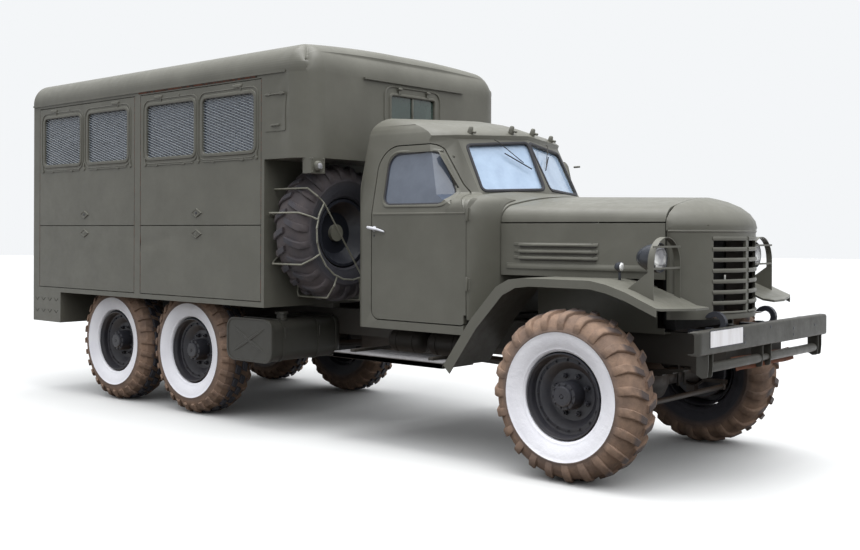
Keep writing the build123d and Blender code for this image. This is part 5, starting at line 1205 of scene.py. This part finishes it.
# expanded-metal mesh under flaking grey-green paint
wire_paint = worn_paint("window_guard_wire", "#8b9194", "#a9afb2", "#77736c", "#5a4334", rough=0.45, dust_top=0.5,
                        chips=0.05, waviness=0.02)
for end, windows in WINDOWS.items():
    for side, name in ((1, "left"), (-1, "right")):
        body = "upper_flap_" + end + "_" + name + "_body"
        place = on_wall(side)
        trim, wires, black = bmesh.new(), bmesh.new(), bmesh.new()
        for low_x, high_x in windows:
            corners = oblong(low_x, WINDOW_LOW, high_x, WINDOW_HIGH)
            moulding(trim, corners, CORNER, [(-0.010, -0.020), (-0.010, 0.004), (-0.006, 0.0085), (0.004, 0.0095),
                                             (0.014, 0.0075), (0.019, 0.001), (0.019, -0.002)], place)
            moulding(trim, corners, CORNER, [(0.036, -0.001), (0.037, 0.004), (0.041, 0.006), (0.045, 0.004),
                                             (0.046, -0.001)], place)
            moulding(black, corners, CORNER, [(-0.016, -0.016), (-0.016, -0.012), (-0.006, -0.012), (-0.006, -0.016)],
                     place)
            # rail under the pair of windows' rims, and small clips along it
            sheet_plate(trim, oblong(low_x + 0.02, 2.062, high_x - 0.02, 2.072),
                        [0.004] * 4, 0.006, place)
            for x in (low_x + 0.15, high_x - 0.15):
                sheet_plate(trim, oblong(x - 0.020, 2.056, x + 0.020, 2.070), [0.004] * 4, 0.009, place)
            rivet(trim, place(0.5 * (low_x + high_x) + 0.12, 2.628, 0), (0, side, 0), 0.009, 0.006)
            cell = bmesh.new()
            for sign, thick, out in ((-1, 0.0022, 1.1530), (1, 0.0013, 1.1500)):
                half, rise = 0.035, 0.011 * sign
                loft(cell, [[(low_x + x * half, side * (out + dy), WINDOW_LOW - 0.012 + x * rise + dz)
                             for dy, dz in ((-thick, 0), (0, -thick), (thick, 0), (0, thick))] for x in (-1, 1)],
                     closed_ends=False)
            columns, rows = int((high_x - low_x) / 0.070) + 1, int((WINDOW_HIGH - WINDOW_LOW + 0.024) / 0.022) + 1
            wires.from_mesh(repeated(mesh_from(cell, "diamond"), rows_tree, Columns=columns, Rows=rows,
                                     Column_Step=(0.070, 0, 0), Row_Step=(0, 0, 0.022), Material=wire_paint))
        # turn buttons that hold the guards, beside each window's foot
        if end == "rear":
            buttons, domes = (-3.174, -2.4575, -1.722), (-2.977, -1.956)
        else:
            buttons, domes = (-1.499, -0.766, -0.050), (-1.315, -0.279)
        for x in buttons:
            rivet(trim, place(x, 2.074, 0), (0, side, 0), 0.017, 0.0095, 16)
            sheet_plate(trim, [(x - 0.010, 2.066), (x + 0.010, 2.066), (x + 0.008, 2.128), (x - 0.008, 2.128)],
                        [0.006] * 4, 0.008, place)
        # lifting hooks under domed caps, and the diamond key plate at the foot
        for x in domes:
            cap = [(x - 0.062, 2.648), (x + 0.062, 2.648), (x + 0.050, 2.618), (x - 0.050, 2.618)]
            sheet_plate(trim, cap[::-1], [0.02] * 4, 0.0095, place, edge=0.006)
        middle = -2.450 if end == "rear" else -0.790
        key_plate(trim, black, middle, 1.660, place, side)
        piece("window_trim_" + end + "_" + name, trim, olive, body, "green_paint", angle=40)
        piece("window_rubber_" + end + "_" + name, black, rubber_seal, body, "chassis_paint")
        piece("window_guard_" + end + "_" + name, wires, wire_paint, body, "chassis_paint")
        hooks = [[(x + 0.022 + 0.020 * math.cos(a), side * (WALL + 0.004), 2.600 + 0.024 * math.sin(a))
                  for a in [math.radians(60 - 25 * k) for k in range(9)]] for x in domes]
        tube("lifting_hooks_" + end + "_" + name, hooks, 0.0038, olive, body, "green_paint")
        lower = bmesh.new()
        key_plate(lower, lower, middle, 1.492, place, side)
        piece("key_plate_" + end + "_" + name, lower, olive,
              "lower_flap_" + end + "_" + name + "_body", "green_paint", angle=40)

# tie hooks for a cover along both roof edges
hooks = []
for side in (-1, 1):
    for x in (-3.178, -2.358, -1.591, -0.796, 0.050):
        hooks.append([(x + 0.026 * math.cos(a), side * (1.150 - 0.010 * math.sin(a) - 0.004),
                       2.768 + 0.020 * math.sin(a)) for a in [math.radians(100 + 28 * k) for k in range(9)]])
tube("cover_tie_hooks", hooks, 0.005, olive, "root", "green_paint")

# front window over the cab: frame, two hinges and a dark green pane; a marker lamp low down at each side


def on_front(u, v, proud):
    """Place on the body's front wall: u across the truck, v up."""
    return (BOX_FRONT + proud, u, v)


form, glass_form, lamps = bmesh.new(), bmesh.new(), bmesh.new()
FRONT_PANE = oblong(-0.270, 2.385, 0.270, 2.595)
moulding(form, FRONT_PANE, [0.035] * 4, [(-0.012, -0.020), (-0.012, 0.006), (-0.004, 0.012), (0.008, 0.010),
                                         (0.014, -0.001)], on_front)
moulding(form, FRONT_PANE, [0.035] * 4, [(0.052, -0.001), (0.056, 0.008), (0.064, 0.010), (0.070, 0.006),
                                         (0.072, -0.001)], on_front)
for y in (-0.170, 0.170):
    sheet_plate(form, oblong(y - 0.014, 2.600, y + 0.014, 2.655), [0.005] * 4, 0.014, on_front)
    rod(form, (0.516, y - 0.022, 2.640), (0.516, y + 0.022, 2.640), 0.009)
rod(form, (0.492, 0.0, 2.392), (0.492, 0.0, 2.590), 0.010)
sheet_plate(glass_form, FRONT_PANE, [0.03] * 4, 0.003, lambda u, v, proud: (0.484 + proud, u, v))
for side in (-1, 1):
    marker = (BOX_FRONT, side * 1.045, 1.992)
    turned_forward(form, [(-0.002, 0.040), (0.012, 0.040), (0.022, 0.034), (0.026, 0.024), (0.027, 0.001)], marker,
                   sides=24)
    turned_forward(lamps, [(0.016, 0.026), (0.030, 0.022), (0.036, 0.012), (0.038, 0.001)], marker, sides=20)
    for y, z in ((0.985, 2.045), (1.095, 2.045), (0.985, 1.950), (1.095, 1.950)):
        rivet(form, (0.499, side * y, z), (1, 0, 0), 0.008, 0.005)
    for x in (0.42, 0.49):
        rivet(form, (x, side * 1.108, 2.047), (0, side, 0), 0.007, 0.005)
# hinge and handle of the hatch in the right wall
rod(form, (0.050, -1.1655, 2.535), (0.272, -1.1655, 2.535), 0.0045)
for x in (0.085, 0.235):
    sheet_plate(form, oblong(x - 0.02, 2.527, x + 0.02, 2.548), [0.003] * 4, 0.0085, on_wall(-1))
sheet_plate(form, oblong(0.118, 2.298, 0.208, 2.312), [0.005] * 4, 0.0095, on_wall(-1), edge=0.003)
piece("front_window_frame", form, olive, "root", "green_paint", angle=40)
piece("front_window_pane", glass_form, pane("front_window_green_glass", "#26332f", 0.06, "#46564f"), "root", "glass")
piece("box_lamp_lenses", lamps, lamp_glass, "root", "lamp")

# upright joints between the sheets, black with rust bleeding along them
seams = worn_paint("rusty_seam", "#1b1816", "#4a2a1c", "#2c221c", "#5c2f1c", rough=0.8, dust_top=1.5, chips=0.25,
                   waviness=0.02)
JOINT = oblong(-0.0024, 0, 0.0024, 0.0006)
RUST_LINE = [(0, -0.006), (0.004, -0.004), (0.008, 0.006), (0, 0.006)]
form = bmesh.new()
for side in (-1, 1):
    for x in (0.0022, -1.5725, -1.6640, -3.2375):
        loft(form, [[(x + dx, side * (1.1585 + dy), z) for dx, dy in JOINT] for z in (0.99, 2.66)])
    # rust under the drip rail
    loft(form, [[(x, side * (1.1602 + dy), 2.684 + dz) for dy, dz in RUST_LINE] for x in (-1.60, -0.05)])
piece("sheet_seams", form, seams, "root", "chassis_paint")

# raised chevrons of the tread plate welded over the skirt behind each rear wheel
form = bmesh.new()
RIDGE = [(-0.005, 0, 0), (0, 0.003, 0.004), (0.005, 0, 0)]
for side in (-1, 1):
    for x, z in [(-3.28 + column * 0.115, 0.74 + row * 0.11) for row in range(2) for column in range(4)]:
        for sign in (-1, 1):
            loft(form, [[(x + sign * 0.034 * t + dx, side * (WALL + h), z + 0.030 * t + dz) for dx, h, dz in RIDGE]
                        for t in (0.05, 1.0)])
piece("skirt_tread_marks", form, olive_knocked_and_shaded, "root", "green_paint")

# ------------------------------------------------------------ spare wheel, tank and boards
# The spare hangs in a cage of bent rods behind the cab, and the welded sheet tank is strapped up under the body.
# The running boards are folded sheet with three worn tread planks laid along each.
SPARE = (Matrix.Translation((FRONT_AXLE - 2.352, -0.635, 1.505)) @ Matrix.Rotation(-math.pi / 2, 4, "Z")
         @ Matrix.Rotation(0.3, 4, "Y"))
spare_mesh = bold_tyre.copy()
spare_mesh.transform(SPARE)
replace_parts(piece("spare_tyre_lugged", spare_mesh, spare_rubber, "root", "tyre_rubber", angle=30), "spare_tyre")
skin("spare_rim", rim_enamel, round_edge=0.002)
# a newer, paler coat on the rods than on the sheet behind them
cage_paint = worn_paint("cage_rod_paint", "#767569", "#8f8e82", "#6a6258", "#46352a", rough=0.4, dust_top=1.0,
                        chips=0.05, waviness=0.02)
skin("spare_cage", cage_paint, smooth=70)

# the tank hangs in the shade under the body, and its darker paint partly paints that shade
skin("fuel_tank", olive_knocked_and_shaded, round_edge=0.006)
tank_x, tank_z, end_y = -0.190, 0.680, -1.110
form = bmesh.new()
tank_outline = oblong(tank_x - 0.26, tank_z - 0.16, tank_x + 0.26, tank_z + 0.16)
# rolled rim round each end, raised ribs in a cross, straps with their bolts
END_RIM = [(0.0, -0.030), (0.007, -0.028), (0.009, 0.0), (0.006, 0.005), (-0.004, 0.006), (-0.008, 0.001)]
for y, out in ((end_y, -1), (-0.410, 1)):
    moulding(form, tank_outline, [0.09] * 4, END_RIM, lambda u, v, proud: (u, y + out * proud, v), steps=8)
    for slope in (1, -1):
        start = Vector((tank_x - 0.19, 0, tank_z - 0.10 * slope))
        end = Vector((tank_x + 0.19, 0, tank_z + 0.10 * slope))
        across = Vector((-(end - start).z, 0, (end - start).x)).normalized() * 0.016
        rings = []
        for t in [k / 8 for k in range(9)]:
            swell = math.sin(math.pi * t) ** 0.4
            middle = start.lerp(end, t)
            rings.append([middle + across * s * swell + Vector((0, y + out * h * swell, 0))
                          for s, h in ((-1, -0.002), (-0.5, 0.007), (0.5, 0.007), (1, -0.002))])
        loft(form, rings)
for y in (-0.98, -0.62):
    moulding(form, tank_outline, [0.09] * 4, [(0.0, -0.016), (0.0045, -0.015), (0.0045, 0.015), (0.0, 0.016)],
             lambda u, v, proud: (u, y + proud, v), steps=8)
    rod(form, (tank_x + 0.268, y, tank_z + 0.02), (tank_x + 0.268, y, tank_z + 0.10), 0.006)
turned_forward(form, [(0, 0.048), (0.012, 0.048), (0.018, 0.040), (0.050, 0.038), (0.052, 0.050), (0.066, 0.052),
                      (0.070, 0.044), (0.072, 0.002)], (tank_x + 0.17, -0.93, tank_z + 0.150), (0, 0, 1), 24)
piece("tank_ribs_straps_filler", form, olive_knocked_and_shaded, "root", "green_paint", angle=35)

skin("running_boards", chassis_black, round_edge=0.002)


def worn_tread():
    """Tread planks scuffed to bare grey, with raised dots 20 mm apart."""
    material, place = new_material("worn_board_tread")
    dots = add_node(material, "ShaderNodeTexVoronoi", {"Vector": place, "Scale": 50, "Randomness": 0.0})
    dot = add_node(material, "ShaderNodeMapRange", {"Value": dots.outputs["Distance"], "From Min": 0.35,
                                                    "From Max": 0.2})
    scuff = add_node(material, "ShaderNodeTexNoise", {"Vector": place, "Scale": 12, "Detail": 7, "Roughness": 0.7})
    colour = add_node(material, "ShaderNodeMix", {"Factor": scuff.outputs["Fac"], 6: linear("#5a5a5e"),
                                                  7: linear("#a9a7a6")}, data_type="RGBA")
    bump = add_node(material, "ShaderNodeBump", {"Height": dot.outputs["Result"], "Strength": 0.6, "Distance": 0.002})
    rough = add_node(material, "ShaderNodeMapRange", {"Value": scuff.outputs["Fac"], "To Min": 0.35, "To Max": 0.7})
    return surfaced(material, add_node(material, "ShaderNodeBsdfPrincipled", {
        "Base Color": colour.outputs[2], "Roughness": rough.outputs["Result"], "Normal": bump.outputs["Normal"],
        "Metallic": 0.1}))


form = bmesh.new()
for side in (-1, 1):
    for number in range(3):
        low_y = 0.626 + number * 0.108
        sheet_plate(form, oblong(0.574, low_y, 1.616, low_y + 0.102), [0.006] * 4, 0.006,
                    lambda u, v, proud: (u, side * v, 0.635 + proud))
        for x in (0.62, 1.095, 1.57):
            rivet(form, (x, side * (low_y + 0.051), 0.6405), (0, 0, 1), 0.008, 0.003)
    sheet_plate(form, oblong(0.572, 0.601, 1.618, 0.634), [0.004] * 4, 0.003,
                lambda u, v, proud: (u, side * (0.947 + proud), v))
piece("board_treads", form, worn_tread(), "root", "chassis_paint", angle=40)

# ------------------------------------------------------------ cab inside
# Bench seat in dark canvas on a steel box, its stuffed cushions sewn across in channels.
# In front of it are a thin black steering wheel and a plain dash of painted sheet.


def canvas():
    """Coarse cotton canvas, woven 2 mm apart, faded where it is sat on."""
    material, place = new_material("seat_canvas")
    axes = add_node(material, "ShaderNodeSeparateXYZ", {"Vector": place})
    threads = []
    for axis in ("Y", "Z"):
        wave = add_node(material, "ShaderNodeMath", {0: axes.outputs[axis], 1: math.tau / 0.002}, operation="MULTIPLY")
        threads.append(add_node(material, "ShaderNodeMath", {0: wave.outputs[0]}, operation="SINE").outputs[0])
    weave = add_node(material, "ShaderNodeMath", {0: threads[0], 1: threads[1]}, operation="MULTIPLY")
    faded = add_node(material, "ShaderNodeTexNoise", {"Vector": place, "Scale": 5, "Detail": 6})
    colour = add_node(material, "ShaderNodeMix", {"Factor": faded.outputs["Fac"], 6: linear("#33362f"),
                                                  7: linear("#63614f")}, data_type="RGBA")
    bump = add_node(material, "ShaderNodeBump", {"Height": weave.outputs[0], "Strength": 0.35, "Distance": 0.0006})
    return surfaced(material, add_node(material, "ShaderNodeBsdfPrincipled", {
        "Base Color": colour.outputs[2], "Roughness": 0.9, "Normal": bump.outputs["Normal"], "Sheen Weight": 0.25}))


seat_canvas = canvas()


def cushion(name, corners, half_width, bulge):
    """Bench cushion from its side outline: remeshed, blown up as cloth, held to its cap, then smoothed."""
    form = bmesh.new()
    loft(form, [[(x, y, z) for x, z in corners] for y in (-half_width, half_width)])
    blank = placed(name + "_blank", mesh_from(form, name))
    edges = blank.modifiers.new("soft", "BEVEL")
    edges.width, edges.segments = 0.03, 3
    fine = blank.modifiers.new("fine", "REMESH")
    fine.mode, fine.voxel_size = "VOXEL", 0.012
    settle(blank)
    rest = [vertex.co.copy() for vertex in blank.data.vertices]
    cloth = blank.modifiers.new("cloth", "CLOTH")
    cloth.settings.use_pressure = True
    cloth.settings.uniform_pressure_force = 4
    cloth.settings.effector_weights.gravity = 0
    cloth.settings.quality = 5
    bpy.context.scene.frame_start, bpy.context.scene.frame_end = 1, 20
    for number in range(1, 21):
        bpy.context.scene.frame_set(number)
    settle(blank)
    bpy.context.scene.frame_set(1)
    channels = [-half_width + half_width * 2 * k / 6 for k in range(1, 6)]
    for vertex, start in zip(blank.data.vertices, rest):
        move = vertex.co - start
        if move.length > bulge:
            vertex.co = start + move * (bulge / move.length)
        near = min(abs(start.y - seam) for seam in channels)
        if near < 0.03:  # 10 mm deep at each sewn channel, fading out 30 mm from it
            vertex.co -= vertex.normal * 0.010 * (1 - near / 0.03) ** 2
    smooth = blank.modifiers.new("smooth", "SUBSURF")
    smooth.levels = smooth.render_levels = 1
    settle(blank)
    padding = blank.data
    bpy.data.objects.remove(blank)
    piece(name, padding, seat_canvas, "root", "seat_cloth", angle=180)


cushion("seat_cushion", [(0.835, 1.20), (1.305, 1.20), (1.305, 1.285), (0.835, 1.275)], 0.675, 0.022)
cushion("seat_back", [(0.840, 1.345), (0.935, 1.345), (0.860, 1.760), (0.805, 1.760)], 0.675, 0.020)
form = bmesh.new()
loft(form, [[(0.82, -0.66, z), (1.27, -0.66, z), (1.27, 0.66, z), (0.82, 0.66, z)] for z in (0.930, 1.176)])
loft(form, [[(0.82, -0.68, z), (1.29, -0.68, z), (1.29, 0.68, z), (0.82, 0.68, z)] for z in (1.176, 1.184)])
for y in (-0.5, 0.0, 0.5):
    rod(form, (0.815, y, 1.18), (0.795, y, 1.72), 0.012)
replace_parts(piece("seat_frame", form, chassis_black, "root", "chassis_paint"), "cab_seat")
skin("dashboard", olive, round_edge=0.004)


def phenolic():
    """Black phenolic moulding, swirled faintly brown and polished by hands."""
    material, place = new_material("black_phenolic")
    swirl = add_node(material, "ShaderNodeTexNoise", {"Vector": place, "Scale": 18, "Detail": 4, "Distortion": 1.5})
    colour = add_node(material, "ShaderNodeMix", {"Factor": swirl.outputs["Fac"], 6: linear("#0c0b0b"),
                                                  7: linear("#2b211c")}, data_type="RGBA")
    rough = add_node(material, "ShaderNodeMapRange", {"Value": swirl.outputs["Fac"], "To Min": 0.2, "To Max": 0.45})
    bump = add_node(material, "ShaderNodeBump", {"Height": swirl.outputs["Fac"], "Strength": 0.1, "Distance": 0.001})
    return surfaced(material, add_node(material, "ShaderNodeBsdfPrincipled", {
        "Base Color": colour.outputs[2], "Roughness": rough.outputs["Result"], "Normal": bump.outputs["Normal"]}))


skin("steering_wheel", phenolic(), "steering_wheel_body", smooth=60)

# ------------------------------------------------------------ battery box and air reservoirs
# Pressed steel box hung between the frame and the left running board, its lid strapped down.
# Two round reservoirs hang on the other side.


def box_ring(x, inset):
    """Round-cornered outline of the box across the truck, drawn in by an inset."""
    ring = []
    for y, z, turn in ((0.600, 0.630, -90), (0.600, 0.940, 0), (0.455, 0.940, 90), (0.455, 0.630, 180)):
        centre_y, centre_z = y + (-0.018 if y > 0.5 else 0.018), z + (0.018 if z < 0.7 else -0.018)
        ring += [(x, centre_y + (0.018 - inset) * math.cos(math.radians(turn + 22.5 * k)),
                  centre_z + (0.018 - inset) * math.sin(math.radians(turn + 22.5 * k))) for k in range(5)]
    return ring


def on_box(u, v, proud):
    """Place on the battery box's outer face: u along the truck, v up."""
    return (u, 0.600 + proud, v)


form = bmesh.new()
loft(form, [box_ring(x, inset) for x, inset in ((0.930, 0.016), (0.932, 0.006), (0.940, 0.0), (1.640, 0.0),
                                                (1.648, 0.006), (1.650, 0.016))])
for x in (1.06, 1.52):
    sheet_plate(form, oblong(x - 0.014, 0.640, x + 0.014, 0.930), [0.003] * 4, 0.004, on_box)
    rivet(form, (x, 0.604, 0.860), (0, 1, 0), 0.010, 0.006, 10)
moulding(form, oblong(0.955, 0.850, 1.625, 0.925), [0.012] * 4, [(0.0, -0.001), (0.002, 0.003), (0.008, 0.003),
                                                                 (0.010, -0.001)], on_box)
piece("battery_box", form, chassis_black, "root", "chassis_paint", angle=40)

# two air reservoirs slung outside the right rail under the cab, domed ends and a strap near each
form = bmesh.new()
RESERVOIR_LINE = (0, -0.528, 0.712)
DOME = [(0.0, 0.002), (0.004, 0.040), (0.018, 0.070), (0.045, 0.088), (0.060, 0.090)]
for low_x, high_x in ((0.78, 1.12), (1.16, 1.50)):
    drum = [(low_x + x, radius) for x, radius in DOME] + [(high_x - x, radius) for x, radius in DOME[::-1]]
    turned_forward(form, drum, RESERVOIR_LINE, sides=28)
    for x in (low_x + 0.075, high_x - 0.105):
        turned_forward(form, [(x, 0.090), (x, 0.094), (x + 0.030, 0.094), (x + 0.030, 0.090)], RESERVOIR_LINE, sides=28)
piece("air_reservoirs", form, chassis_black, "root", "chassis_paint", angle=40)

# ------------------------------------------------------------ floor, light and camera
# Plain pale floor under a broad soft light from above, like an overcast sky, with a weak fill from ahead.
# The camera stands low off the truck's right front corner.


def seen_directly(owner):
    """1 for rays from the camera, off a gloss or through glass, which see the backdrop, and 0 for light's own."""
    rays = add_node(owner, "ShaderNodeLightPath", {}).outputs
    seen = add_node(owner, "ShaderNodeMath", {0: rays["Is Camera Ray"], 1: rays["Is Glossy Ray"]}, operation="ADD")
    return add_node(owner, "ShaderNodeMath", {0: seen.outputs[0], 1: rays["Is Transmission Ray"]}, operation="ADD",
                    use_clamp=True).outputs[0]


def pale_floor():
    """Matt floor: near white to the eye and in reflections, mid grey to the light that it bounces on to the truck."""
    material, place = new_material("pale_floor")
    cloud = add_node(material, "ShaderNodeTexNoise", {"Vector": place, "Scale": 0.4, "Detail": 3})
    tone = add_node(material, "ShaderNodeMix", {"Factor": cloud.outputs["Fac"], 6: linear("#c6c6c4"),
                                                7: linear("#cbcbc9")}, data_type="RGBA")
    bounced = add_node(material, "ShaderNodeMix", {"Factor": seen_directly(material), 6: linear("#55524e"),
                                                   7: tone.outputs[2]}, data_type="RGBA")
    matt = add_node(material, "ShaderNodeBsdfDiffuse", {"Color": bounced.outputs[2]})
    return surfaced(material, matt)


floor_form = bmesh.new()
floor_ring = [(60 * math.cos(a) - 1, 60 * math.sin(a), 0) for a in turns(64)]
floor_form.faces.new([floor_form.verts.new(point) for point in floor_ring])
floor = placed("floor", mesh_from(floor_form, "floor"))
floor.data.materials.append(pale_floor())

world = bpy.data.worlds.new("overcast")
bpy.context.scene.world = world
world.use_nodes = True
world.node_tree.nodes.clear()
sky = add_node(world, "ShaderNodeTexCoord", {})
up = add_node(world, "ShaderNodeSeparateXYZ", {"Vector": sky.outputs["Generated"]}).outputs["Z"]
cloud_base = add_node(world, "ShaderNodeMapRange", {"Value": up, "From Min": 0.0, "From Max": 1.0, "To Min": 0.25,
                                                    "To Max": 3.1})
sky_light = add_node(world, "ShaderNodeBackground",
                     {"Color": linear("#f2f4f8"), "Strength": cloud_base.outputs["Result"]})
sky_seen = add_node(world, "ShaderNodeBackground", {"Color": linear("#f4f6f8"), "Strength": 1.0})
mixed = add_node(world, "ShaderNodeMixShader", {0: seen_directly(world), 1: sky_light.outputs[0],
                                                2: sky_seen.outputs[0]})
add_node(world, "ShaderNodeOutputWorld", {"Surface": mixed.outputs[0]})


def softbox(name, place, aim, size, power):
    """Large soft area lamp at a place, turned to aim at a point."""
    lamp = bpy.data.lights.new(name, "AREA")
    lamp.shape = "RECTANGLE"
    lamp.size, lamp.size_y = size
    lamp.energy = power
    lamp_object = placed(name, lamp)
    lamp_object.location = place
    lamp_object.rotation_euler = (Vector(aim) - Vector(place)).to_track_quat("-Z", "Y").to_euler()


softbox("overhead", (0.5, -0.8, 11), (0.5, -0.4, 1), (9, 6), 800)
softbox("front_fill", (8, -4, 8), (0, 0, 2.4), (7, 4), 150)

camera_lens = bpy.data.cameras.new("viewpoint")
camera_lens.lens = 44.786
camera_lens.shift_x = 0.023594
camera_lens.shift_y = -0.048873
camera = placed("viewpoint", camera_lens)
camera.location = (6.21882, -6.41022, 1.51455)
turned_to = (Matrix.Rotation(math.radians(41.88947), 4, "Z") @ Matrix.Rotation(math.radians(90 - 0.05769), 4, "X")
             @ Matrix.Rotation(math.radians(0.21498), 4, "Z"))
camera.rotation_euler = turned_to.to_euler()
bpy.context.scene.camera = camera
bpy.context.scene.view_settings.view_transform = "Standard"
